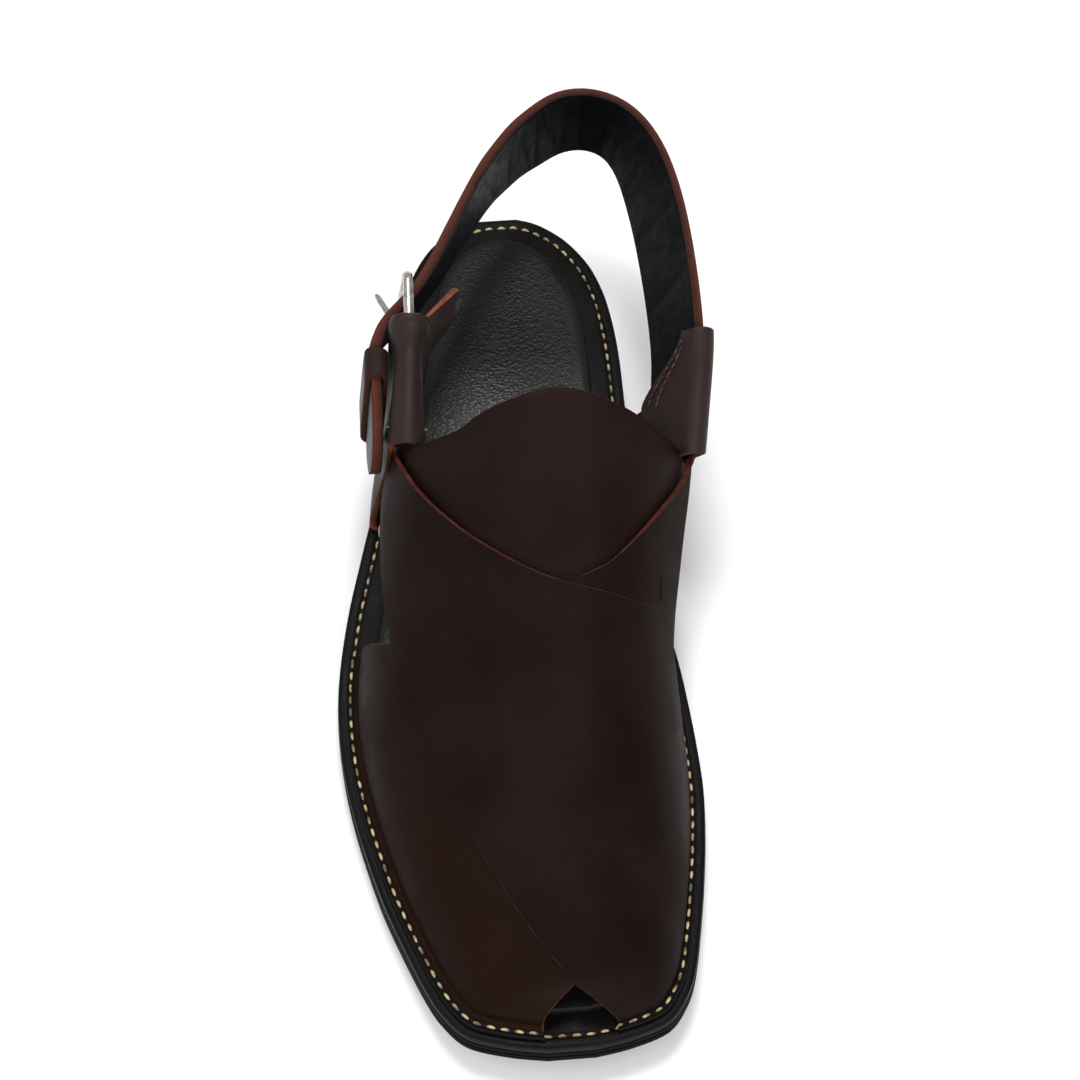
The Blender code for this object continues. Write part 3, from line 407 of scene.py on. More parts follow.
def makeLining(name, dark, light, rough):
    # thin black lining leather, softly crushed
    made, tree, shader, where = newMaterial(name)
    grain = placeGroup(tree, "grain", where, Scale=1100.0)
    soft = addNode(tree, "TexNoise", Scale=190.0, Detail=4.0, Roughness=0.55, Distortion=1.2)
    tree.links.new(where, soft.inputs["Vector"])
    tree.links.new(mixColour(tree, grain.outputs["Mottle"], dark, light), shader.inputs["Base Color"])
    tree.links.new(rangeNode(tree, soft.outputs["Fac"], 0.3, 0.7, rough - 0.08, rough + 0.10),
                   shader.inputs["Roughness"])
    shader.inputs["Specular IOR Level"].default_value = 0.035
    height = mathNode(tree, "ADD", mathNode(tree, "MULTIPLY", soft.outputs["Fac"], 1.0),
                      mathNode(tree, "MULTIPLY", grain.outputs["Height"], 0.22))
    bumpInto(tree, shader, height, 0.42, 0.0007)
    return made


def makeInsoleLeather():
    made, tree, shader, where = newMaterial("insoleLeather")
    pebble = placeGroup(tree, "pebble", where, Scale=860.0)
    grain = placeGroup(tree, "grain", where, Scale=1300.0)
    dust = placeGroup(tree, "dust", where, Amount=0.25)
    inner = attributeOf(tree, "pebbled")
    tone = mixColour(tree, grain.outputs["Mottle"], (0.0036, 0.0036, 0.0039), (0.0060, 0.0059, 0.0062))
    # painted shade: the colour is darkened in the pebble grain's valleys
    tone = mixColour(tree, mathNode(tree, "MULTIPLY", pebble.outputs["Valley"], 0.6), tone,
                     (0.0030, 0.0030, 0.0032))
    tone = mixColour(tree, dust.outputs["Mask"], tone, (0.10, 0.10, 0.10))
    tree.links.new(tone, shader.inputs["Base Color"])
    rough = mathNode(tree, "ADD", 0.24, mathNode(tree, "MULTIPLY", pebble.outputs["Valley"], 0.16))
    rough = mathNode(tree, "ADD", rough, mathNode(tree, "MULTIPLY", grain.outputs["Mottle"], 0.10))
    tree.links.new(rough, shader.inputs["Roughness"])
    height = mathNode(tree, "ADD", mathNode(tree, "MULTIPLY", pebble.outputs["Height"], inner),
                      mathNode(tree, "MULTIPLY", grain.outputs["Height"], 0.18))
    shader.inputs["Specular IOR Level"].default_value = 0.17
    bumpInto(tree, shader, height, 0.55, 0.00011)
    return made


def makeWeltLeather():
    made, tree, shader, where = newMaterial("weltLeather")
    grain = placeGroup(tree, "grain", where, Scale=1000.0)
    dust = placeGroup(tree, "dust", where, Amount=0.5)
    tone = mixColour(tree, grain.outputs["Mottle"], (0.0030, 0.0030, 0.0033), (0.0058, 0.0058, 0.0064))
    tone = mixColour(tree, dust.outputs["Mask"], tone, (0.09, 0.085, 0.08))
    tree.links.new(tone, shader.inputs["Base Color"])
    tree.links.new(rangeNode(tree, grain.outputs["Mottle"], 0.0, 1.0, 0.36, 0.52), shader.inputs["Roughness"])
    shader.inputs["Specular IOR Level"].default_value = 0.055
    bumpInto(tree, shader, grain.outputs["Height"], 0.32, 0.00022)
    return made


def makeSoleRubber(name, lines):
    # satin rubber, ground on its side into faint level lines
    made, tree, shader, where = newMaterial(name)
    grain = placeGroup(tree, "grain", where, Scale=800.0)
    dust = placeGroup(tree, "dust", where, Amount=0.2)
    stretch = addNode(tree, "Mapping", Scale=(60.0, 60.0, lines))
    tree.links.new(where, stretch.inputs["Vector"])
    ground = addNode(tree, "TexNoise", Scale=1.0, Detail=3.0, Roughness=0.6)
    tree.links.new(stretch.outputs["Vector"], ground.inputs["Vector"])
    tone = mixColour(tree, ground.outputs["Fac"], (0.0028, 0.0027, 0.0028), (0.0062, 0.0060, 0.0062))
    tone = mixColour(tree, dust.outputs["Mask"], tone, (0.10, 0.095, 0.09))
    tree.links.new(tone, shader.inputs["Base Color"])
    tree.links.new(rangeNode(tree, ground.outputs["Fac"], 0.3, 0.7, 0.48, 0.66), shader.inputs["Roughness"])
    height = mathNode(tree, "ADD", ground.outputs["Fac"],
                      mathNode(tree, "MULTIPLY", grain.outputs["Height"], 0.3))
    shader.inputs["Specular IOR Level"].default_value = 0.014
    bumpInto(tree, shader, height, 0.35, 0.0003)
    return made


def makeNickel():
    # worn nickel wire: drawn scratches, tarnish in the hollows
    made, tree, shader, where = newMaterial("wornNickel")
    stretch = addNode(tree, "Mapping", Scale=(2600.0, 420.0, 2600.0))
    tree.links.new(where, stretch.inputs["Vector"])
    scratch = addNode(tree, "TexNoise", Scale=1.0, Detail=4.0, Roughness=0.65)
    tree.links.new(stretch.outputs["Vector"], scratch.inputs["Vector"])
    tarnish = addNode(tree, "TexNoise", Scale=320.0, Detail=3.0)
    tree.links.new(where, tarnish.inputs["Vector"])
    dull = rangeNode(tree, tarnish.outputs["Fac"], 0.42, 0.72)
    metal = mixColour(tree, dull, (0.50, 0.485, 0.44), (0.26, 0.245, 0.21))
    tree.links.new(metal, shader.inputs["Base Color"])
    rough = mathNode(tree, "ADD", rangeNode(tree, scratch.outputs["Fac"], 0.3, 0.7, 0.16, 0.30),
                     mathNode(tree, "MULTIPLY", dull, 0.14))
    tree.links.new(rough, shader.inputs["Roughness"])
    shader.inputs["Metallic"].default_value = 1.0
    bumpInto(tree, shader, scratch.outputs["Fac"], 0.15, 0.0001)
    return made


def makeThread(name, deep, bright, twist=900.0):
    # waxed thread: a slanting twist with painted shade along its bands, and random soiling
    made, tree, shader, where = newMaterial(name)
    turn = addNode(tree, "Mapping", Rotation=(0.4, 0.3, 0.7))
    tree.links.new(where, turn.inputs["Vector"])
    ply = addNode(tree, "TexWave", dict(wave_type="BANDS"), Scale=twist, Distortion=1.0, Detail=1.0)
    tree.links.new(turn.outputs["Vector"], ply.inputs["Vector"])
    soil = addNode(tree, "TexNoise", Scale=260.0, Detail=3.0)
    tree.links.new(where, soil.inputs["Vector"])
    tone = mixColour(tree, rangeNode(tree, soil.outputs["Fac"], 0.40, 0.64), bright, deep)
    # painted shade: the colour darkens along the twist's bands
    tone = mixColour(tree, mathNode(tree, "MULTIPLY", ply.outputs["Fac"], 0.35), tone, deep)
    tree.links.new(tone, shader.inputs["Base Color"])
    tree.links.new(rangeNode(tree, soil.outputs["Fac"], 0.3, 0.7, 0.55, 0.75), shader.inputs["Roughness"])
    bumpInto(tree, shader, ply.outputs["Fac"], 0.4, 0.00015)
    return made


finish = dict(
    vamp=makeLeather("vampLeather", leathers["vamp"]),
    tongue=makeLeather("tongueLeather", leathers["tongue"]),
    strap=makeLeather("strapLeather", leathers["strap"]),
    fold=makeLeather("foldLeather", leathers["fold"]),
    redEdge=makeCutEdge("redCutEdge", (0.030, 0.0072, 0.0044), (0.094, 0.023, 0.0115)),
    brownEdge=makeCutEdge("brownCutEdge", (0.014, 0.0058, 0.0045), (0.040, 0.0140, 0.0090)),
    orangeEdge=makeCutEdge("orangeCutEdge", (0.085, 0.024, 0.012), (0.230, 0.075, 0.034)),
    upperLining=makeLining("upperLining", (0.0075, 0.0042, 0.0034), (0.0120, 0.0070, 0.0055), 0.70),
    strapLining=makeLining("strapLining", (0.0027, 0.0029, 0.0037), (0.0052, 0.0057, 0.0074), 0.46),
    insole=makeInsoleLeather(),
    welt=makeWeltLeather(),
    outsole=makeSoleRubber("outsoleRubber", 900.0),
    heel=makeSoleRubber("heelRubber", 1400.0),
    nickel=makeNickel(),
    thread=makeThread("creamThread", (0.11, 0.068, 0.028), (0.58, 0.44, 0.23)),
    darkThread=makeThread("darkThread", (0.016, 0.005, 0.004), (0.085, 0.034, 0.027)),
    greyThread=makeThread("greyThread", (0.04, 0.036, 0.032), (0.19, 0.17, 0.15)),
)
print("materials built:", len(finish))


def meshObject(name, points, faces, slots, finishes, attributes=None, crisp=35.0):
    mesh = bpy.data.meshes.new(name)
    mesh.from_pydata([tuple(p) for p in points], [], faces)
    for made in finishes:
        mesh.materials.append(made)
    mesh.polygons.foreach_set("material_index", slots)
    for label, values in (attributes or {}).items():
        layer = mesh.attributes.new(label, "FLOAT", "POINT")
        layer.data.foreach_set("value", np.asarray(values, dtype=np.float32))
    body = bmesh.new()
    body.from_mesh(mesh)
    bmesh.ops.recalc_face_normals(body, faces=body.faces)
    body.to_mesh(mesh)
    body.free()
    mesh.shade_smooth()
    mesh.set_sharp_from_angle(angle=math.radians(crisp))
    made = bpy.data.objects.new(name, mesh)
    bpy.context.scene.collection.objects.link(made)
    return made


def keepPiece(piece, slotName, *nodes):
    # every piece of the shoe rides on its one body
    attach(piece, "root")
    if nodes:
        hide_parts(*nodes)
    return piece


def ringOrder(rows, columns):
    ring = [(i, 0) for i in range(rows)] + [(rows - 1, j) for j in range(1, columns)]
    ring += [(i, columns - 1) for i in range(rows - 2, -1, -1)]
    return ring + [(0, j) for j in range(columns - 2, 0, -1)]


def sheetObject(name, outer, inner, finishes, attributes=None, rimRound=0.0004):
    # a leather sheet between two grids, with a rounded cut edge; finishes: outside, inside, edge
    rows, columns = outer.shape[:2]
    ring = ringOrder(rows, columns)
    at = np.array(ring)
    inside = np.clip(at, 1, (rows - 2, columns - 2))
    push = unit(outer[at[:, 0], at[:, 1]] - outer[inside[:, 0], inside[:, 1]])
    outer, inner = outer.copy(), inner.copy()
    outer[at[:, 0], at[:, 1]] -= push * rimRound
    inner[at[:, 0], at[:, 1]] -= push * rimRound
    top, low = outer[at[:, 0], at[:, 1]], inner[at[:, 0], at[:, 1]]
    points = [outer.reshape(-1, 3), inner.reshape(-1, 3)]
    size = rows * columns
    rings = [[i * columns + j for i, j in ring]]
    for k, share in enumerate((0.16, 0.5, 0.84)):
        bulge = rimRound * math.sin(math.pi * share)
        points.append(top + (low - top) * share + push * bulge * 1.2)
        rings.append([2 * size + k * len(ring) + n for n in range(len(ring))])
    rings.append([size + i * columns + j for i, j in ring])
    faces, slots = [], []
    for i in range(rows - 1):
        for j in range(columns - 1):
            a = i * columns + j
            faces.append((a, a + 1, a + columns + 1, a + columns))
            slots.append(0)
            faces.append((a + size, a + size + columns, a + size + columns + 1, a + size + 1))
            slots.append(1)
    for first, second in zip(rings, rings[1:]):
        for n in range(len(ring)):
            m = (n + 1) % len(ring)
            faces.append((first[n], second[n], second[m], first[m]))
            slots.append(2)
    values = {}
    for label in ("warmth", "dye"):
        grid = (attributes or {}).get(label, np.zeros((rows, columns)))
        flat = np.asarray(grid, dtype=float).reshape(-1)
        edge = flat[[i * columns + j for i, j in ring]]
        values[label] = np.concatenate((flat, flat, edge, edge, edge))
    return meshObject(name, np.concatenate(points), faces, slots, finishes, values, crisp=50.0)


def slabObject(name, profile, bottom, top, lastEdge, rowCount, columns, made, border=None):
    # a layer of the sole: the profile lists inset, level and lift up its side
    shares = np.linspace(0.0, 1.0, rowCount + 1)
    rows = lastEdge * (0.5 * shares + 0.25 * (1.0 - np.cos(math.pi * shares)))
    ring = ringOrder(rowCount + 1, columns + 1)
    points, faces, rings, marks = [], [], [], []
    total = 0
    for k, (inset, level, lift) in enumerate(profile):
        left, right = edgePoints(lateral, rows, inset), edgePoints(medial, rows, inset)
        share = np.linspace(0.0, 1.0, columns + 1)[None, :, None]
        spot = left[:, None, :] + (right - left)[:, None, :] * share
        low, high = bottom(spot[..., 0], spot[..., 1]), top(spot[..., 0], spot[..., 1])
        grid = place(spot[..., 0], spot[..., 1], low + (high - low) * level + lift)
        capped = k in (0, len(profile) - 1)
        if capped:
            points.append(grid.reshape(-1, 3))
            rings.append([total + i * (columns + 1) + j for i, j in ring])
            for i in range(rowCount):
                for j in range(columns):
                    a = total + i * (columns + 1) + j
                    faces.append((a, a + 1, a + columns + 2, a + columns + 1))
        else:
            points.append(np.array([grid[i, j] for i, j in ring]))
            rings.append(list(range(total, total + len(ring))))
        marks.append(np.full(len(points[-1]), 1.0 if border is None else border[k]))
        total += len(points[-1])
    for lower, upper in zip(rings, rings[1:]):
        for n, a in enumerate(lower):
            m = (n + 1) % len(ring)
            faces.append((a, lower[m], upper[m], upper[n]))
    return meshObject(name, np.concatenate(points), faces, [0] * len(faces), [made],
                      dict(pebbled=np.concatenate(marks)), crisp=30.0)


# soft hollows and folds of the insole: where the heel and the waist have settled
insoleMarks = [
    dict(across=0.002, station=0.040, turn=0.0, width=0.013, length=0.020, depth=-0.0007),
    dict(across=-0.012, station=0.083, turn=1.25, width=0.0016, length=0.008, depth=-0.00022),
    dict(across=0.009, station=0.090, turn=1.45, width=0.0020, length=0.010, depth=0.00026),
    dict(across=-0.004, station=0.101, turn=1.65, width=0.0018, length=0.012, depth=-0.00024),
]

# stitches round the welt and the groove they lie in; vary and turn make each one a little different
stitching = dict(inset=0.0041, pitch=0.0040, length=0.0024, width=0.00044, height=0.00036, sink=0.00034,
                 grooveWidth=0.00075, grooveDepth=0.00045, lengthVary=0.10, widthVary=0.12, turn=0.00016)
soleSteps = dict(rows=150, columns=6, heelRows=60, insoleColumns=40)


def makeSole():
    rowCount, columns = soleSteps["rows"], soleSteps["columns"]
    dip, soft = sole["sideGroove"], sole["edgeRound"]

    def weltBase(across, station):
        return soleTop(station) - sole["weltThickness"]

    profile = [(soft, 0.0, 0.0), (0.3 * soft, 0.03, 0.0), (0.0, 0.10, 0.0), (0.0, 0.50, 0.0),
               (0.45 * dip, 0.52, 0.0), (dip, 0.56, 0.0), (dip, 0.62, 0.0), (0.45 * dip, 0.66, 0.0),
               (0.0, 0.68, 0.0), (0.0, 0.96, 0.0), (0.3 * soft, 1.0, 0.0)]
    outsole = slabObject("outsole_rubber", profile, lambda x, s: soleBottom(s),
                         lambda x, s: weltBase(x, s) - sole["seat"], lastRow, rowCount, columns,
                         finish["outsole"])
    keepPiece(outsole, "sole_rubber", "outsole")

    inset = sole["heelInset"]
    breast = edgeRow(lateral, sole["heelLength"], inset)
    profile = [(inset + soft, 0.0, 0.0), (inset + 0.3 * soft, 0.03, 0.0), (inset, 0.10, 0.0),
               (inset, 0.44, 0.0), (inset + 0.0004, 0.47, 0.0), (inset, 0.50, 0.0), (inset, 1.0, 0.0)]
    heel = slabObject("heel_block", profile, lambda x, s: 0.0 * s, lambda x, s: soleBottom(s) - sole["seat"],
                      breast, soleSteps["heelRows"], columns, finish["heel"])
    keepPiece(heel, "sole_rubber", "heel")

    groove = stitching["inset"]
    wide, deep = stitching["grooveWidth"], stitching["grooveDepth"]
    profile = [(0.0002, 0.0, 0.0), (0.0002, 0.62, 0.0), (0.0004, 0.86, 0.0), (0.0009, 0.97, 0.0),
               (0.0016, 1.0, 0.0), (groove - 2.0 * wide, 1.0, 0.0), (groove - 1.2 * wide, 1.0, -0.2 * deep),
               (groove - 0.5 * wide, 1.0, -0.9 * deep), (groove, 1.0, -deep),
               (groove + 0.5 * wide, 1.0, -0.9 * deep), (groove + 1.2 * wide, 1.0, -0.2 * deep),
               (groove + 2.0 * wide, 1.0, 0.0), (0.0085, 1.0, 0.0), (0.0130, 1.0, 0.0)]
    welt = slabObject("welt_leather", profile, weltBase, lambda x, s: soleTop(s), lastRow, rowCount,
                      columns, finish["welt"])
    keepPiece(welt, "welt_leather", "welt")

    def sockBase(across, station):
        return soleTop(station) + sole["seat"]

    def sockTop(across, station):
        crown = sole["insoleCrown"] * np.maximum(0.0, 1.0 - (across / (0.5 * sole["ballWidth"])) ** 2)
        dents = softMarks(insoleMarks, across, station)
        return sockBase(across, station) + sole["insoleThickness"] - sole["insoleCrown"] + crown + dents

    edge = sole["insoleInset"]
    profile = [(edge, 0.0, 0.0), (edge, 0.30, 0.0), (edge + 0.25 * soft, 0.62, 0.0),
               (edge + 0.8 * soft, 0.90, 0.0), (edge + 1.7 * soft, 1.0, 0.0),
               (edge + 3.0 * soft, 1.0, 0.00010), (edge + 4.0 * soft, 1.0, 0.00002),
               (edge + 5.2 * soft, 1.0, 0.00010)]
    insole = slabObject("insole_sock", profile, sockBase, sockTop, lastRow, rowCount,
                        soleSteps["insoleColumns"], finish["insole"],
                        border=[0.0, 0.0, 0.0, 0.0, 0.1, 0.25, 0.7, 1.0])
    keepPiece(insole, "insole_leather", "insole")


makeSole()
print("sole, welt and insole built")

# the vamp's vault: ridge offset, rise, lateral and medial spread at each station
vamp = dict(
    instepRise=0.072, ankleSpread=0.028, leather=0.0019, overlayStep=0.0010, flangeInset=0.0026,
    lateralCrease=0.0080, medialCrease=0.0062, sewnStart=0.545, columns=150, flangeRows=18, wallRows=70,
    fillet=0.0007, tongueLeather=0.0016, tongueGap=0.0006, spreadPower=2.2, heightPower=0.55, crowding=2.2,
)
vault = [
    (0.318, 0.076, 1.010, 0.29, 1.00), (0.336, 0.076, 0.990, 0.22, 1.00),
    (0.389, 0.086, 0.955, 0.15, 1.00), (0.442, 0.105, 0.890, 0.10, 0.84),
    (0.530, 0.124, 0.745, 0.00, 0.42), (0.618, 0.114, 0.630, 0.00, 0.09),
    (0.707, 0.076, 0.507, 0.00, 0.00), (0.795, 0.048, 0.390, 0.00, 0.00),
    (0.883, 0.029, 0.278, 0.00, 0.00), (0.926, 0.029, 0.212, 0.00, 0.00),
    (0.951, 0.029, 0.163, 0.00, 0.00), (0.968, 0.029, 0.100, 0.00, 0.00),
    (0.979, 0.029, 0.030, 0.00, 0.00),
]
overStrap = dict(
    side=medial, toeEnd=0.130, step=vamp["overlayStep"],
    free=[(-0.343, 0.383), (-0.384, 0.422), (-0.400, 0.500), (-0.393, 0.565), (-0.362, 0.625),
          (-0.305, 0.708), (-0.210, 0.802), (-0.086, 0.894), (0.027, 0.951)],
    rear=[(0.362, 0.540), (0.352, 0.566), (0.276, 0.579), (0.124, 0.569), (-0.010, 0.547),
          (-0.130, 0.515), (-0.217, 0.482), (-0.281, 0.447), (-0.322, 0.411), (-0.343, 0.383)],
)
underStrap = dict(
    side=lateral, toeEnd=-0.066, step=0.0,
    free=[(0.466, 0.407), (0.446, 0.448), (0.415, 0.500), (0.385, 0.560), (0.350, 0.640),
          (0.290, 0.730), (0.200, 0.820), (0.100, 0.896), (0.022, 0.949)],
    rear=[(-0.470, 0.545), (-0.380, 0.580), (-0.180, 0.598), (0.040, 0.585), (0.124, 0.566),
          (0.210, 0.550), (0.296, 0.517), (0.363, 0.484), (0.420, 0.452), (0.452, 0.427), (0.466, 0.407)],
)
tongue = dict(
    top=[(-0.356, 0.376), (-0.313, 0.393), (-0.200, 0.408), (-0.114, 0.402), (-0.019, 0.397), (0.076, 0.392),
         (0.162, 0.395), (0.238, 0.401), (0.324, 0.407), (0.390, 0.412), (0.440, 0.412), (0.472, 0.421)],
    toe=[(-0.330, 0.560), (-0.170, 0.650), (0.000, 0.690), (0.160, 0.670), (0.370, 0.590)],
    columns=90, rows=50, cornerLift=0.0024,
)

# soft troughs and ridges of the vamp, in metres: across, station, turn, width, length, depth
vampMarks = [
    dict(across=-0.040, station=0.190, turn=0.5, width=0.0040, length=0.022, depth=-0.00045),
    dict(across=0.040, station=0.168, turn=-0.2, width=0.0045, length=0.018, depth=-0.00050),
    dict(across=0.036, station=0.185, turn=-0.3, width=0.0050, length=0.020, depth=0.00035),
    dict(across=0.010, station=0.205, turn=1.35, width=0.0060, length=0.024, depth=-0.00030),
    dict(across=-0.020, station=0.172, turn=1.15, width=0.0065, length=0.020, depth=0.00028),
    dict(across=-0.030, station=0.235, turn=0.4, width=0.0035, length=0.014, depth=-0.00030),
    dict(across=0.030, station=0.240, turn=-0.3, width=0.0040, length=0.014, depth=-0.00028),
]
readVault = stationReader(vault)


def vaultHeight(across, station):
    base = soleTop(station) + sole["seat"]
    ridge = readVault(station, 1) * sole["ballWidth"]
    crest = readVault(station, 2) * vamp["instepRise"]
    left = edgeAcross(lateral, station, vamp["lateralCrease"]) - readVault(station, 3) * vamp["ankleSpread"]
    right = edgeAcross(medial, station, vamp["medialCrease"]) + readVault(station, 4) * vamp["ankleSpread"]
    reach = np.where(across > ridge, right - ridge, ridge - left)
    share = np.minimum(np.abs(across - ridge) / reach, 1.0)
    return base + crest * (1.0 - share ** vamp["spreadPower"]) ** vamp["heightPower"]


def edgeCurve(table):
    rows = np.linspace(0.0, len(table) - 1.0, 30 * len(table))
    return readTable(table, rows) * (sole["ballWidth"], sole["length"])


def sewnRun(side, inset, toeEnd):
    first = edgeRow(side, vamp["sewnStart"] * sole["length"], inset)
    rows = np.linspace(lastRow - 4.0, lastRow, 2000)
    across = np.abs(edgePoints(side, rows, inset)[:, 0])
    last = rows[np.argmax(across <= abs(toeEnd) * sole["ballWidth"])]
    return edgePoints(side, np.linspace(first, last, 240), inset)


def filletPath(path, corner, radius):
    # even steps along a path, with its corner rounded
    length = np.concatenate(([0.0], np.cumsum(np.linalg.norm(np.diff(path, axis=0), axis=1))))
    step = 0.00012
    at = np.arange(0.0, length[-1], step)
    even = np.stack([np.interp(at, length, path[:, c]) for c in range(3)], axis=1)
    reach = int(4.0 * radius / step)
    kernel = bell(np.arange(-reach, reach + 1) * step, radius)
    kernel /= kernel.sum()
    padded = np.concatenate((np.repeat(even[:1], reach, 0), even, np.repeat(even[-1:], reach, 0)))
    smooth = np.stack([np.convolve(padded[:, c], kernel, "valid") for c in range(3)], axis=1)
    weight = bell(at - length[corner], 2.5 * radius)[:, None]
    return even + (smooth - even) * weight, at, length[corner]


def vampStrap(name, strap, finishes):
    side = strap["side"]
    creaseInset = vamp["lateralCrease"] if side == lateral else vamp["medialCrease"]
    shares = np.linspace(0.0, 1.0, vamp["columns"] + 1)
    flange = readRun(sewnRun(side, vamp["flangeInset"], strap["toeEnd"]), shares)
    crease = readRun(sewnRun(side, creaseInset, strap["toeEnd"]), shares)
    free = readRun(edgeCurve(strap["free"]), shares)
    rearRun = edgeCurve(strap["rear"])
    reach = np.linspace(0.0, 1.0, 220) ** vamp["crowding"]
    rearLine = readRun(rearRun, reach)
    bow = rearLine - (rearRun[0] + (rearRun[-1] - rearRun[0]) * reach[:, None])
    spot = crease[:, None, :] + (free - crease)[:, None, :] * reach[None, :, None]
    spot = spot + bow[None, :, :] * ((1.0 - shares) ** 2)[:, None, None]
    wall = place(spot[..., 0], spot[..., 1], vaultHeight(spot[..., 0], spot[..., 1]))
    outwards = np.array((0.0, 0.0, 1.0))
    normals = gridNormals(wall, outwards)
    lift = vamp["leather"] + strap["step"] * ease(reach / 0.25) + softMarks(
        vampMarks, spot[..., 0], spot[..., 1]) * ease(reach / 0.15)
    wall = wall + normals * lift[..., None]
    flangeTop = soleTop(flange[:, 1]) + sole["seat"] + vamp["leather"]
    grid, insets = [], []
    for i in range(len(shares)):
        start = place(flange[i, 0], flange[i, 1], flangeTop[i])
        floor = soleTop(spot[i, :, 1]) + sole["seat"] + vamp["leather"]
        above = int(np.argmax(wall[i, :, 2] > floor + 0.0001))
        foot = wall[i, above].copy()
        foot[2] = soleTop(sole["heelBack"] - foot[1]) + sole["seat"] + vamp["leather"]
        path = np.concatenate((start[None], foot[None], wall[i, above:]))
        smooth, at, corner = filletPath(path, 1, vamp["fillet"])
        near = np.linspace(0.0, corner + 0.0035, vamp["flangeRows"] + 1)
        far = np.linspace(corner + 0.0035, at[-1], vamp["wallRows"] + 1)[1:]
        marks = np.concatenate((near, far))
        grid.append(np.stack([np.interp(marks, at, smooth[:, c]) for c in range(3)], axis=1))
        insets.append(marks / corner * (creaseInset - vamp["leather"] - vamp["flangeInset"])
                      + vamp["flangeInset"])
    outer, insets = np.array(grid), np.array(insets)
    normals = gridNormals(outer, outwards)
    groove = stitching["grooveDepth"] * bell(insets - stitching["inset"], stitching["grooveWidth"])
    lip = 0.00035 * bell(insets - (stitching["inset"] + 0.0014), 0.00045) * (side == lateral)
    outer = outer + normals * (lip - groove)[..., None]
    inner = outer - normals * (vamp["leather"] - 0.00005)
    dye = 1.0 - ease((insets - stitching["inset"] - 0.0003) / 0.0009)
    warm = 0.55 * bell(insets - (stitching["inset"] + 0.0016), 0.0010) * (side == lateral)
    station = sole["heelBack"] - outer[..., 1]
    if side == medial:  # the rear edge fades into the wall near the welt
        dye[0] = np.maximum(dye[0], 0.85 * (1.0 - ease((insets[0] - 0.034) / 0.010)))
    else:
        warm = warm + 0.62 * ease((station - 0.150) / 0.080) * bell(insets - 0.016, 0.014)
    return sheetObject(name, outer, inner, finishes, dict(dye=dye, warmth=np.clip(warm, 0.0, 1.0)), 0.0004)


def makeTongue():
    shares = np.linspace(0.0, 1.0, tongue["columns"] + 1)
    top, toe = readRun(edgeCurve(tongue["top"]), shares), readRun(edgeCurve(tongue["toe"]), shares)
    fall = np.linspace(0.0, 1.0, tongue["rows"] + 1)
    spot = top[None] + (toe - top)[None] * fall[:, None, None]
    plain = place(spot[..., 0], spot[..., 1], vaultHeight(spot[..., 0], spot[..., 1]))
    normals = gridNormals(plain, np.array((0.0, 0.0, 1.0)))
    corner = (1.0 - ease(3.0 * fall))[:, None] * (1.0 - ease(shares / 0.16))[None, :]
    outer = plain - normals * vamp["tongueGap"]
    outer[..., 2] += tongue["cornerLift"] * corner
    inner = outer - normals * vamp["tongueLeather"]
    piece = sheetObject("tongue_leather", outer, inner,
                        [finish["tongue"], finish["upperLining"], finish["brownEdge"]], None, 0.0004)
    return keepPiece(piece, "upper_leather", "tongue")


overPiece = vampStrap("over_strap", overStrap, [finish["vamp"], finish["upperLining"], finish["redEdge"]])
keepPiece(overPiece, "upper_leather", "upper")
underPiece = vampStrap("under_strap", underStrap, [finish["vamp"], finish["upperLining"], finish["redEdge"]])
keepPiece(underPiece, "upper_leather", "upper")
makeTongue()
print("vamp straps and tongue built")

# heel strap: top edge across, station and height, then the low edge's lean aside and forward
strapSizes = dict(width=0.025, thickness=0.0032, ankleHeight=0.084, rowSpacing=0.0145, steps=330,
                  faceSteps=25, crown=0.00022, wrinkleDepth=1.35, tipRows=0.9, tipShare=0.10)
heelStrapRows = [
    (0.500, 0.367, 0.815, -0.46, -0.32), (0.519, 0.325, 0.923, -0.48, -0.32),
    (0.524, 0.283, 0.958, -0.50, -0.20), (0.528, 0.219, 0.940, -0.50, -0.20),
    (0.524, 0.148, 0.923, -0.54, -0.20), (0.508, 0.088, 0.911, -0.54, -0.20),
    (0.474, 0.036, 0.908, -0.50, -0.18), (0.405, -0.011, 0.905, -0.30, 0.04),
    (0.295, -0.035, 0.905, -0.08, 0.16), (0.190, -0.032, 0.905, 0.04, 0.16),
    (0.115, -0.011, 0.908, 0.08, 0.08), (0.052, 0.012, 0.914, 0.10, -0.08),
    (0.000, 0.041, 0.923, 0.06, -0.12), (-0.048, 0.069, 0.932, 0.02, -0.14),
    (-0.124, 0.131, 0.958, 0.00, -0.22), (-0.200, 0.198, 0.992, -0.06, -0.30),
    (-0.238, 0.226, 1.000, -0.08, -0.30), (-0.276, 0.249, 1.003, -0.10, -0.30),
    (-0.318, 0.266, 0.998, -0.11, -0.30), (-0.361, 0.282, 0.985, -0.11, -0.32),
    (-0.391, 0.302, 0.957, -0.11, -0.38), (-0.396, 0.331, 0.895, -0.11, -0.44),
    (-0.400, 0.366, 0.795, -0.11, -0.45), (-0.408, 0.406, 0.682, -0.12, -0.46),
]

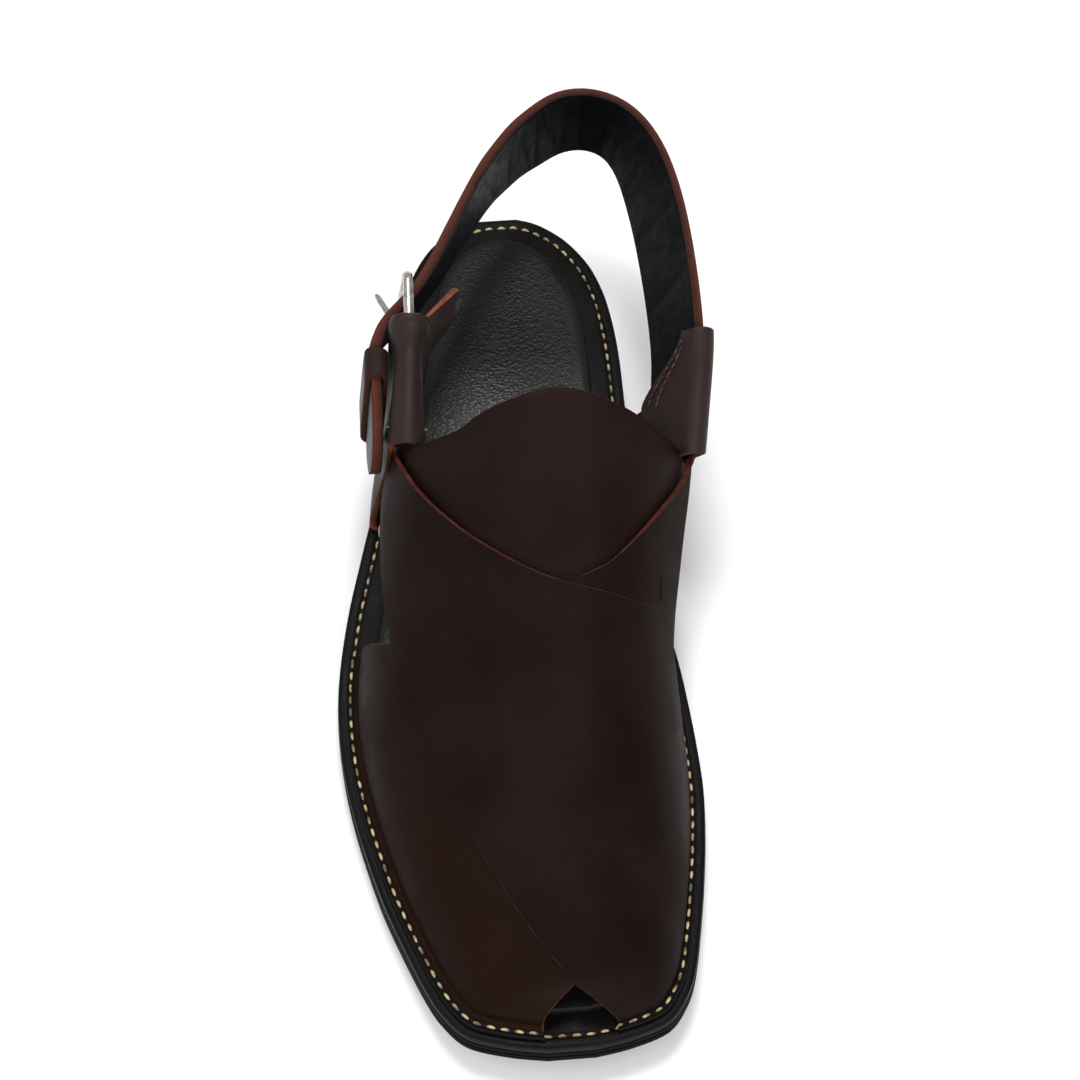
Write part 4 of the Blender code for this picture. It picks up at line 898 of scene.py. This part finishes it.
# wrinkles of the strap's lining: table row, slant, width and depth
liningWrinkles = [
    (2.6, 0.30, 0.0011, 0.00030), (3.4, -0.35, 0.0014, 0.00038), (4.1, 0.25, 0.0010, 0.00026),
    (4.9, -0.20, 0.0013, 0.00040), (5.6, 0.45, 0.0010, 0.00034), (6.2, -0.15, 0.0012, 0.00046),
    (6.7, 0.35, 0.0009, 0.00036), (7.2, 0.10, 0.0012, 0.00050), (7.7, -0.30, 0.0010, 0.00044),
    (8.2, 0.20, 0.0013, 0.00048), (8.8, -0.25, 0.0011, 0.00040), (9.4, 0.30, 0.0012, 0.00042),
    (10.1, -0.35, 0.0010, 0.00036), (10.8, 0.20, 0.0013, 0.00034), (11.7, -0.30, 0.0012, 0.00028),
    (13.0, 0.40, 0.0012, 0.00024),
]


def smoothStrapTable():
    # the strap's table read finely and eased, its two ends kept
    rows = np.linspace(0.0, len(heelStrapRows) - 1.0, 40 * (len(heelStrapRows) - 1) + 1)
    values = readTable(heelStrapRows, rows)
    for column, reach in enumerate((16, 16, 16, 44, 44)):
        kernel = bell(np.arange(-3 * reach, 3 * reach + 1), reach)
        padded = np.pad(values[:, column], 3 * reach, mode="reflect", reflect_type="odd")
        values[:, column] = np.convolve(padded, kernel / kernel.sum(), "valid")
    return rows, values


fineStrap = smoothStrapTable()


def heelStrapEdges(rows):
    values = np.stack([np.interp(rows, fineStrap[0], fineStrap[1][:, c]) for c in range(5)], axis=-1)
    values = values.reshape(-1, 5)
    top = place(values[:, 0] * sole["ballWidth"], values[:, 1] * sole["length"],
                values[:, 2] * strapSizes["ankleHeight"])
    side, forward = values[:, 3], values[:, 4]
    drop = np.sqrt(1.0 - side * side - forward * forward)
    return top, top + np.stack((side, -forward, -drop), axis=1) * strapSizes["width"]


def heelStrapFrames(rows):
    rows = np.atleast_1d(np.asarray(rows, dtype=float))
    top, low = heelStrapEdges(rows)
    before, after = heelStrapEdges(rows - 0.15), heelStrapEdges(rows + 0.15)
    path = unit(after[0] + after[1] - before[0] - before[1])
    width = unit(top - low)
    return 0.5 * (top + low), path, width, unit(np.cross(path, width))


def makeHeelStrap():
    last = len(heelStrapRows) - 1.0
    rows = np.linspace(0.0, last, strapSizes["steps"] + 1)
    middle, path, width, out = heelStrapFrames(rows)
    toTip = np.minimum((last - rows) / strapSizes["tipRows"], 1.0)
    narrow = np.sqrt(np.maximum(1.0 - (1.0 - toTip) ** 2, strapSizes["tipShare"]))
    half, thick = 0.5 * strapSizes["width"], 0.5 * strapSizes["thickness"]
    face = np.linspace(-1.0, 1.0, strapSizes["faceSteps"])
    soft = 0.62 * thick
    # depth and redness of the cut edge, from the lining to the outer face
    rim = [(-thick + soft * 0.4, 0.0), (-0.45 * thick, 0.1), (0.35 * thick, 0.45), (thick - soft * 0.5, 0.55)]
    section = [(f, -thick, 1) for f in face] + [(1.0, depth, 2) for depth, _ in rim]
    section += [(f, thick, 0) for f in face[::-1]] + [(-1.0, depth, 2) for depth, _ in rim[::-1]]
    plain = [0.0] * len(face)
    redness = plain + [red for _, red in rim] + plain + [red for _, red in rim[::-1]]
    points, kinds = [], []
    for share, through, kind in section:
        onFace = abs(abs(through) - thick) < 1e-9
        pull = soft * 0.5 if onFace else (0.0 if kind != 2 else 0.00012)
        across = share * (half - pull) * narrow
        depth = np.full(len(rows), through)
        if onFace and through < 0.0:
            for row, slant, wide, deep in liningWrinkles:
                away = (rows - row) * strapSizes["rowSpacing"] - slant * across
                depth = depth + strapSizes["wrinkleDepth"] * deep * bell(away, wide) * (1.0 - share ** 4)
        if onFace and through > 0.0:
            depth = depth + strapSizes["crown"] * (1.0 - share ** 2)
        points.append(middle + width * across[:, None] + out * depth[:, None])
        kinds.append(kind)
    size = len(section)
    grid = np.stack(points, axis=1)
    faces, slots = [], []
    for i in range(len(rows) - 1):
        for k in range(size):
            m = (k + 1) % size
            a = i * size
            faces.append((a + k, a + m, a + size + m, a + size + k))
            slots.append(kinds[k] if kinds[k] == kinds[m] else 2)
    faces += [tuple(range(size)), tuple(range((len(rows) - 1) * size, len(rows) * size))]
    slots += [2, 2]
    piece = meshObject("heel_strap_leather", grid.reshape(-1, 3), faces, slots,
                       [finish["strap"], finish["strapLining"], finish["brownEdge"]],
                       dict(warmth=np.tile(redness, len(rows)), dye=np.zeros(len(rows) * size)), crisp=60.0)
    return keepPiece(piece, "strap_leather", "heel_strap")


makeHeelStrap()
print("heel strap built")

# side straps, their folds and flaps
sideStraps = dict(
    leather=0.0022, length=0.038, lead=0.47, medialRadius=0.0030, columns=60, hangWay=(-0.03, 0.29, -0.95),
    lateralFoldFront=(-0.3275, 0.3862, 0.7074), lateralFoldRear=(-0.2915, 0.2899, 1.036),
    flapSlant=0.0015, medialFlap=0.0235, medialFlapCut=0.88, medialCutFrom=0.50, lateralFlap=0.013,
    lateralFlapFront=0.3, lateralFlapFull=0.6, tabReach=0.0112, tabFrom=0.70, tabBack=0.95, tabInward=0.85,
    tabSag=0.020, tabWave=1.6, footBend=0.0011, bendSpan=0.003,
)

# steps down a side strap's sheet: round its foot, up the leg, over the fold and down the flap
sheetSteps = dict(foot=18, leg=30, fold=20, flap=16)

# legs of the side straps: their feet's stations, the turned flange and the way they hang
legs = {
    lateral: dict(front=0.403, rear=0.315, flangeFrom=0.0095, foot=0.0022, hang=0.006, rise=0.14, fall=0.52,
                  fallWay=(-0.03, 0.20, -0.97), bulge=0.0042, frontBulge=0.0010, legFrontDark=0.30, foldFrontDark=0.55),
    medial: dict(front=0.415, rear=0.315, flangeFrom=0.0026, foot=0.0062, hang=0.005, rise=0.20, fall=0.62,
                 fallWay=(-0.12, -0.05, -0.98), bulge=0.0, frontBulge=0.0),
}

# half width of the lateral fold's middle layer, front to rear: share and metres
lateralFold = [
    (0.00, 0.0045), (0.19, 0.0041), (0.34, 0.0037), (0.52, 0.0033), (0.66, 0.0030), (0.76, 0.0033),
    (0.86, 0.0047), (0.93, 0.0051), (1.00, 0.0040),
]
readLateralFold = stationReader(lateralFold)
buckle = dict(length=0.0190, height=0.0295, wire=0.0031, prongWire=0.0018, corner=0.0032,
              rear=(-0.289, 0.237, 1.054), hangWay=(-0.090, 0.29, -0.95), foldShare=0.88,
              prongShare=0.48, prongTip=(-0.384, 0.214, 0.833), prongTaper=(0.99, 0.95, 0.86, 0.62))


def sharePlace(shares):
    # a place from shares of ball width, sole length and ankle height
    return place(shares[0] * sole["ballWidth"], shares[1] * sole["length"],
                 shares[2] * strapSizes["ankleHeight"])


def foldRadius(side, share):
    # half width of a fold's middle layer
    if side == medial:
        return sideStraps["medialRadius"]
    return float(readLateralFold(share * sole["length"], 1))


def foldFrame(side, share):
    # middle of a side strap's fold, the way down and the way out, front 0 to rear 1
    if side == medial:
        top = heelStrapEdges(np.array([0.0, 0.4]))[0]
        behind = share * sideStraps["length"] - sideStraps["length"] * sideStraps["lead"]
        if behind < 0.0:
            width, out = (v[0] for v in heelStrapFrames(0.0)[2:])
            return top[0] - unit(top[0] - top[1]) * behind, -width, out
        middle, _, width, out = (v[0] for v in heelStrapFrames(behind / strapSizes["rowSpacing"]))
        return middle + width * 0.5 * strapSizes["width"], -width, out
    front, rear = sharePlace(sideStraps["lateralFoldFront"]), sharePlace(sideStraps["lateralFoldRear"])
    down = unit(np.array(sideStraps["hangWay"]))
    return front + (rear - front) * share, down, unit(np.cross(rear - front, down))


def flapPoints(side, share, inner, down, out):
    t = np.linspace(0.0, 1.0, sheetSteps["flap"] + 1)[1:, None]
    if side == medial:
        cutFrom = sideStraps["medialCutFrom"]
        cut = sideStraps["medialFlapCut"] * ease((share - cutFrom) / (1.0 - cutFrom))
        return inner + down * sideStraps["medialFlap"] * (1.0 - cut) * t - out * sideStraps["flapSlant"] * t
    rearward = unit(foldFrame(side, 1.0)[0] - foldFrame(side, 0.0)[0])
    reach = max((share - sideStraps["tabFrom"]) / (1.0 - sideStraps["tabFrom"]), 0.0)
    way = rearward * sideStraps["tabBack"] - out * sideStraps["tabInward"]
    swing = way * sideStraps["tabReach"] * (1.0 - (1.0 - reach) ** 2)
    sag = down * sideStraps["tabSag"] * reach * (1.0 - reach)
    tab = np.maximum(np.sin(math.pi * np.minimum(t * sideStraps["tabWave"], 1.0)), 0.0)
    first = sideStraps["lateralFlapFront"]
    grown = first + (1.0 - first) * ease(share / sideStraps["lateralFlapFull"])
    return inner + down * sideStraps["lateralFlap"] * grown * t + (swing + sag) * tab


def makeSideStrap(side, name, node):
    leg = legs[side]
    lift = sole["seat"] + 0.5 * sideStraps["leather"]
    grid, insets, climbs = [], [], []
    for share in np.linspace(0.0, 1.0, sideStraps["columns"] + 1):
        radius = foldRadius(side, share)
        station = (leg["front"] + (leg["rear"] - leg["front"]) * share) * sole["length"]
        steps = np.linspace(leg["flangeFrom"], leg["foot"], 14)
        across = np.array([edgeAcross(side, station, inset) for inset in steps])
        flange = place(across, station, soleTop(station) + lift)
        foot = flange[-1]
        centre, down, out = foldFrame(side, share)
        out = -out if out[0] * side < 0.0 else out
        hang = leg["hang"]
        shoulder = centre + out * radius + down * hang
        reach = np.linalg.norm(shoulder - foot)
        swell = math.sin(math.pi * share) ** 0.7
        push = side * (leg["frontBulge"] + (leg["bulge"] - leg["frontBulge"]) * swell)
        upStart = foot + np.array((push, 0.0, leg["rise"] * reach))
        upEnd = shoulder + unit(np.array(leg["fallWay"])) * leg["fall"] * reach
        t = np.linspace(0.0, 1.0, 30)[1:, None]
        wall = (foot * (1 - t) ** 3 + upStart * 3 * t * (1 - t) ** 2 + upEnd * 3 * t * t * (1 - t)
                + shoulder * t ** 3)
        climb = np.linspace(1.0, 0.0, 12)[1:-1, None]
        straight = centre + out * radius + down * hang * climb
        angle = np.linspace(0.0, math.pi, sheetSteps["fold"] + 1)[:, None]
        fold = centre + out * radius * np.cos(angle) - down * radius * np.sin(angle)
        flap = flapPoints(side, share, centre - out * radius, down, out)
        path = np.concatenate((flange, wall, straight, fold, flap))
        smooth, at, corner = filletPath(path, len(flange) - 1, sideStraps["footBend"])
        bends = np.linalg.norm(np.diff(path, axis=0), axis=1)
        length = np.concatenate(([0.0], np.cumsum(bends)))
        stops = (0.0, corner + sideStraps["bendSpan"], length[len(flange) + len(wall) + len(straight)],
                 length[-1 - sheetSteps["flap"]], at[-1])
        runs = [np.linspace(low, high, steps + 1)[1:]
                for low, high, steps in zip(stops, stops[1:], sheetSteps.values())]
        marks = np.concatenate(([0.0], *runs))
        grid.append(np.stack([np.interp(marks, at, smooth[:, c]) for c in range(3)], axis=1))
        insets.append(leg["flangeFrom"] + marks * (1.0 if leg["foot"] > leg["flangeFrom"] else -1.0))
        climbs.append(marks - corner)
    middle, insets, climbs = np.array(grid), np.array(insets), np.array(climbs)
    normals = unit(np.cross(np.gradient(middle, axis=0), np.gradient(middle, axis=1)))
    crest = sheetSteps["foot"] + sheetSteps["leg"] + sheetSteps["fold"] // 2
    if normals[len(normals) // 2, crest, 2] < 0.0:  # the fold's crest faces up
        normals = -normals
    half = 0.5 * sideStraps["leather"]
    groove = stitching["grooveDepth"] * bell(insets - stitching["inset"], stitching["grooveWidth"])
    outer = middle + normals * (half - groove)[..., None]
    inner = middle - normals * half
    dye = 1.0 - ease((insets - stitching["inset"] - 0.0003) / 0.0009)
    if side == lateral:
        dye = 1.0 - ease((climbs + 0.0035) / 0.0010)
        legEnd = sheetSteps["foot"] + sheetSteps["leg"] + 2
        # the front column of the leg, and of the fold and flap, is darkened by these shares
        dye[0, legEnd:] = leg["foldFrontDark"]
        dye[0, sheetSteps["foot"] + 1:legEnd] = leg["legFrontDark"]
    warmth = (1.0 - ease((climbs - 0.0020) / 0.0050)) * (side == lateral)
    edge = finish["redEdge"] if side == medial else finish["orangeEdge"]
    piece = sheetObject(name, outer, inner, [finish["fold"], finish["upperLining"], edge],
                        dict(dye=dye, warmth=warmth), 0.00045)
    keepPiece(piece, "upper_leather", node)
    return outer, normals


makeSideStrap(lateral, "lateral_side_leather", "lateral_side_strap")
medialSheet = makeSideStrap(medial, "medial_side_leather", "medial_side_strap")
print("side straps built")


def tubeAlong(points, radius, sides, closed=False, flat=1.0, taper=None):
    # points and faces of a round tube along a path
    points = np.asarray(points, dtype=float)
    if closed:
        tangent = unit(np.roll(points, -1, axis=0) - np.roll(points, 1, axis=0))
    else:
        tangent = unit(np.gradient(points, axis=0))
    side = np.cross(tangent[0], (0.3, 0.2, 0.93))
    rings = []
    for k, point in enumerate(points):
        side = side - tangent[k] * np.dot(side, tangent[k])
        side = side / np.linalg.norm(side)
        up = np.cross(tangent[k], side)
        size = radius if taper is None else radius * taper[k]
        angle = np.linspace(0.0, 2.0 * math.pi, sides, endpoint=False)[:, None]
        rings.append(point + size * (side * np.cos(angle) + up * flat * np.sin(angle)))
    faces = []
    count = len(points)
    for i in range(count if closed else count - 1):
        for k in range(sides):
            a, b = i * sides, ((i + 1) % count) * sides
            faces.append((a + k, a + (k + 1) % sides, b + (k + 1) % sides, b + k))
    if not closed:
        faces += [tuple(range(sides)), tuple(range((count - 1) * sides, count * sides))]
    return np.concatenate(rings), faces


def tubesObject(name, tubes, made):
    # many tubes, each its points and faces, as one object
    points, faces, total = [], [], 0
    for tubePoints, tubeFaces in tubes:
        points.append(tubePoints)
        faces += [tuple(n + total for n in face) for face in tubeFaces]
        total += len(tubePoints)
    return meshObject(name, np.concatenate(points), faces, [0] * len(faces), [made])


def buckleLines():
    # tops of the frame's front and rear bars, the way between them and the way down
    front = foldFrame(lateral, buckle["foldShare"])[0]
    onward = unit(sharePlace(buckle["rear"]) - front)
    hang = np.array(buckle["hangWay"])
    down = unit(hang - onward * np.dot(hang, onward))
    return front, front + onward * buckle["length"], onward, down


def makeBuckle():
    front, rear, onward, down = buckleLines()
    drop = down * buckle["height"]
    corners = [front, rear, rear + drop, front + drop]
    ways = [onward, down, -onward, -down]
    bend = buckle["corner"]
    path = []
    for k, spot in enumerate(corners):
        ahead, behind = ways[k], ways[k - 1]
        centre = spot - behind * bend + ahead * bend
        for angle in np.linspace(0.0, 0.5 * math.pi, 9):
            path.append(centre + behind * bend * math.sin(angle) - ahead * bend * math.cos(angle))
        start, stop = path[-1], corners[(k + 1) % 4] - ahead * bend
        path += [start + (stop - start) * t for t in np.linspace(0.0, 1.0, 10)[1:-1]]
    tube = tubeAlong(path, 0.5 * buckle["wire"], 20, closed=True)
    keepPiece(tubesObject("buckle_wire", [tube], finish["nickel"]), "buckle_metal", "buckle_frame")

    radii = 0.5 * (buckle["wire"] + buckle["prongWire"])
    start = front + down * buckle["prongShare"] * buckle["height"] + onward * (radii + sole["seat"])
    end = sharePlace(buckle["prongTip"])
    taper = np.concatenate((np.ones(24), buckle["prongTaper"]))
    line = start + (end - start) * np.linspace(0.0, 1.0, len(taper))[:, None]
    tube = tubeAlong(line, 0.5 * buckle["prongWire"], 16, taper=taper)
    keepPiece(tubesObject("prong_wire", [tube], finish["nickel"]), "buckle_metal", "buckle_prong")


makeBuckle()
print("buckle built")

# the keeper hangs upright round the sloping strap: it leans back along the strap towards its top
keeper = dict(row=21.20, width=0.0103, leather=0.0015, slack=0.0004, outerSlack=0.0003, innerSlack=0.0005,
              corner=0.0017, lean=0.557, rowLength=0.0125)


def makeKeeper():
    corner = keeper["corner"]
    across = 0.5 * strapSizes["width"] + keeper["slack"] - corner
    through = 0.5 * (strapSizes["thickness"] + keeper["outerSlack"] + keeper["innerSlack"]) - corner
    shift = 0.5 * (keeper["outerSlack"] - keeper["innerSlack"])
    ring = []
    for signA, signB, turn in ((1, 1, 0.0), (-1, 1, 0.5), (-1, -1, 1.0), (1, -1, 1.5)):
        for angle in math.pi * (turn + 0.5 * np.linspace(0.0, 1.0, 9)):
            ring.append((signA * across, signB * through, angle))
        nextTurn = math.pi * (turn + 0.5)
        flips = {0.0: (-1, 1), 0.5: (-1, -1), 1.0: (1, -1), 1.5: (1, 1)}[turn]
        for t in np.linspace(0.0, 1.0, 9)[1:-1]:
            ring.append((across * (signA + (flips[0] - signA) * t),
                         through * (signB + (flips[1] - signB) * t), nextTurn))
    profile = [(-0.5, 0.0, 1), (0.5, 0.0, 1), (0.5, 0.25, 2), (0.5, 0.80, 2), (0.47, 1.0, 0),
               (0.25, 1.03, 0), (-0.25, 1.03, 0), (-0.47, 1.0, 0), (-0.5, 0.80, 2), (-0.5, 0.25, 2)]
    points, faces, slots = [], [], []
    for spot, level, angle in ring:
        for end, depth, kind in profile:
            grow = corner + keeper["leather"] * depth
            up = spot + grow * math.cos(angle)
            along = keeper["width"] * end - keeper["lean"] * up
            row = keeper["row"] + along / keeper["rowLength"]
            middle, _, width, out = (v[0] for v in heelStrapFrames(row))
            points.append(middle + width * up + out * (shift + level + grow * math.sin(angle)))
    size, count = len(profile), len(ring)
    for i in range(count):
        for k in range(size):
            a, b, m = i * size, ((i + 1) % count) * size, (k + 1) % size
            faces.append((a + k, a + m, b + m, b + k))
            kinds = (profile[k][2], profile[m][2])
            slots.append(kinds[0] if kinds[0] == kinds[1] else 2)
    nothing = np.zeros(len(points))
    piece = meshObject("keeper_leather", points, faces, slots,
                       [finish["strap"], finish["upperLining"], finish["brownEdge"]],
                       dict(warmth=nothing + 0.10, dye=nothing + 0.15), crisp=50.0)
    keepPiece(piece, "upper_leather", "keeper")


makeKeeper()
print("keeper built")


def coverHeight(side, across, station):
    # how far the leather sewn to the welt lifts a stitch at this place
    ends = dict(lateral=underStrap["toeEnd"], medial=overStrap["toeEnd"])
    toeEnd = ends["lateral" if side == lateral else "medial"] * sole["ballWidth"]
    start = vamp["sewnStart"] * sole["length"]
    onVamp = ease((station - start + 0.0010) / 0.0016)
    atToe = np.where(station > 0.94 * sole["length"], ease((side * (across - toeEnd) + 0.0004) / 0.0012), 1.0)
    leg = legs[side]
    onLeg = ease((station - leg["rear"] * sole["length"] + 0.001) / 0.0016) * ease(
        (leg["front"] * sole["length"] - station + 0.001) / 0.0016)
    return onVamp * atToe * (vamp["leather"] + sole["seat"]) + onLeg * (sideStraps["leather"] + sole["seat"])


def makeSoleStitches():
    dice = random.Random(11)
    left = edgePoints(lateral, np.linspace(0.0, lastRow, 1500), stitching["inset"])
    right = edgePoints(medial, np.linspace(0.0, lastRow, 1500), stitching["inset"])
    loop = np.concatenate((left, right[::-1], left[:1]))
    length = np.sum(np.linalg.norm(np.diff(loop, axis=0), axis=1))
    count = int(round(length / stitching["pitch"]))
    middleAcross = 0.5 * (underStrap["toeEnd"] + overStrap["toeEnd"]) * sole["ballWidth"]
    tubes = []
    for k in range(count):
        middle = (k + 0.5) / count
        stretch = stitching["length"] * (1.0 + stitching["lengthVary"] * (dice.random() - 0.5))
        shares = middle + np.linspace(-0.5, 0.5, 9) * stretch / length
        flat = readRun(loop, shares % 1.0)
        turn = stitching["turn"] * (dice.random() - 0.5)
        ahead = unit(flat[-1] - flat[0])
        flat = flat + np.array((-ahead[1], ahead[0])) * np.linspace(-turn, turn, 9)[:, None]
        side = np.where(flat[:, 0] < middleAcross, -1, 1)
        cover = np.array([coverHeight(s, a, b) for s, (a, b) in zip(side, flat)])
        rise = np.sin(np.linspace(0.0, math.pi, 9)) ** 0.7
        level = soleTop(flat[:, 1]) + cover - stitching["grooveDepth"] - stitching["sink"] * (1.0 - rise)
        path = place(flat[:, 0], flat[:, 1], level + stitching["height"] * rise)
        taper = 0.55 + 0.45 * rise
        thick = stitching["width"] * (1.0 + stitching["widthVary"] * (dice.random() - 0.5))
        tubes.append(tubeAlong(path, thick, 8, taper=taper))
    keepPiece(tubesObject("sole_stitches", tubes, finish["thread"]), "welt_leather")
    print("sole stitches:", count)


makeSoleStitches()


def surfaceAt(sheet, share, mark):
    # point and normal of a side strap's sheet at fractional grid places
    grid, normals = sheet
    i, j = share * (grid.shape[0] - 1), mark * (grid.shape[1] - 1)
    a, b = int(min(i, grid.shape[0] - 2)), int(min(j, grid.shape[1] - 2))
    u, v = i - a, j - b
    return [(g[a, b] * (1 - u) * (1 - v) + g[a + 1, b] * u * (1 - v) + g[a, b + 1] * (1 - u) * v
             + g[a + 1, b + 1] * u * v) for g in (grid, normals)]


# two rows of dark stitches along the inner flap's cut edge: start and end as shares along and down
# the sheet, and knots of thread ends on the folds: side, share along the fold, which way out, size
flapSeams = [((0.93, 0.950), (0.50, 0.962)), ((0.88, 0.900), (0.46, 0.930))]
flapThread = dict(count=8, radius=0.00032, rise=0.00030)
threadKnots = [(lateral, 0.15, 1.0, 0.00036), (lateral, 0.13, -1.0, 0.00042)]


def makeThreadKnots():
    dice = random.Random(5)
    tubes = []
    for side, share, way, size in threadKnots:
        centre, down, out = foldFrame(side, share)
        out = -out if out[0] * side < 0.0 else out
        reach = foldRadius(side, share) + 0.5 * sideStraps["leather"]
        start = centre + out * way * reach - down * 0.0004
        for _ in range(3):
            turns = np.linspace(0.0, 1.3 * math.pi, 14)[:, None]
            tilt = 0.8 * (dice.random() - 0.5)
            path = start + size * 1.3 * (out * way * (np.sin(turns) + 0.3) - down * np.cos(turns)
                                         + np.array((0.3, 1.0, 0.4)) * tilt * turns)
            tubes.append(tubeAlong(path, 0.55 * size, 8))
    keepPiece(tubesObject("thread_knots", tubes, finish["greyThread"]), "upper_leather")


makeThreadKnots()


def makeFlapStitches():
    tubes = []
    for first, last in flapSeams:
        count = flapThread["count"]
        for k in range(count):
            path = []
            for t in np.linspace(0.12, 0.88, 7):
                share = (k + t) / count
                spot = [a + (b - a) * share for a, b in zip(first, last)]
                point, normal = surfaceAt(medialSheet, *spot)
                arch = math.sin(math.pi * (t - 0.12) / 0.76)
                path.append(point + unit(normal) * flapThread["rise"] * arch)
            tubes.append(tubeAlong(path, flapThread["radius"], 7))
    keepPiece(tubesObject("flap_stitches", tubes, finish["darkThread"]), "upper_leather")


makeFlapStitches()
print("flap stitches built")

# floor, light and camera
studio = dict(floor=(0.88, 0.88, 0.885), floorRough=0.85, aim=(0.0, -0.10, 0.03), sky=(0.97, 0.97, 1.0),
              skyStrength=0.56)
floorMesh = bpy.data.meshes.new("floor")
floorMesh.from_pydata([(-3, -3, 0), (3, -3, 0), (3, 3, 0), (-3, 3, 0)], [], [(0, 1, 2, 3)])
floor = bpy.data.objects.new("floor", floorMesh)
bpy.context.scene.collection.objects.link(floor)
floorLook = bpy.data.materials.new("paleFloor")
floorLook.use_nodes = True
floorShader = floorLook.node_tree.nodes["Principled BSDF"]
floorShader.inputs["Base Color"].default_value = (*studio["floor"], 1.0)
floorShader.inputs["Roughness"].default_value = studio["floorRough"]
floorMesh.materials.append(floorLook)

# soft studio lamps: place, size, power and colour
lamps = [
    dict(name="overheadSoftbox", place=(-0.01, 0.26, 1.30), size=0.42, power=12.0, colour=(1.0, 0.99, 0.98)),
    dict(name="sideFill", place=(-1.2, -0.2, 0.9), size=1.0, power=3.0, colour=(0.98, 0.98, 1.0)),
    dict(name="frontFill", place=(0.10, -1.30, 0.80), size=0.8, power=12.0, colour=(1.0, 0.98, 0.97)),
]
for lamp in lamps:
    data = bpy.data.lights.new(lamp["name"], "AREA")
    data.shape = "DISK"
    data.size = lamp["size"]
    data.energy = lamp["power"]
    data.color = lamp["colour"]
    light = bpy.data.objects.new(lamp["name"], data)
    light.location = lamp["place"]
    aimWay = Vector(studio["aim"]) - light.location
    light.rotation_mode = "QUATERNION"
    light.rotation_quaternion = aimWay.to_track_quat("-Z", "Y")
    bpy.context.scene.collection.objects.link(light)

world = bpy.data.worlds.new("studio")
world.use_nodes = True
world.node_tree.nodes["Background"].inputs["Color"].default_value = (*studio["sky"], 1.0)
world.node_tree.nodes["Background"].inputs["Strength"].default_value = studio["skyStrength"]
bpy.context.scene.world = world

cameraData = bpy.data.cameras.new("camera")
cameraData.lens, cameraData.sensor_width = view["lens"], view["sensor"]
camera = bpy.data.objects.new("camera", cameraData)
turnAngle, liftAngle = math.radians(view["azimuth"]), math.radians(view["elevation"])
look = Vector((-math.sin(turnAngle) * math.cos(liftAngle), math.cos(turnAngle) * math.cos(liftAngle),
               -math.sin(liftAngle)))
camera.location = Vector(view["aim"]) - look * view["distance"]
camera.rotation_mode = "QUATERNION"
camera.rotation_quaternion = look.to_track_quat("-Z", "Y")
bpy.context.scene.collection.objects.link(camera)
bpy.context.scene.camera = camera
bpy.context.scene.view_settings.view_transform = "Standard"
print("floor, lights and camera placed")
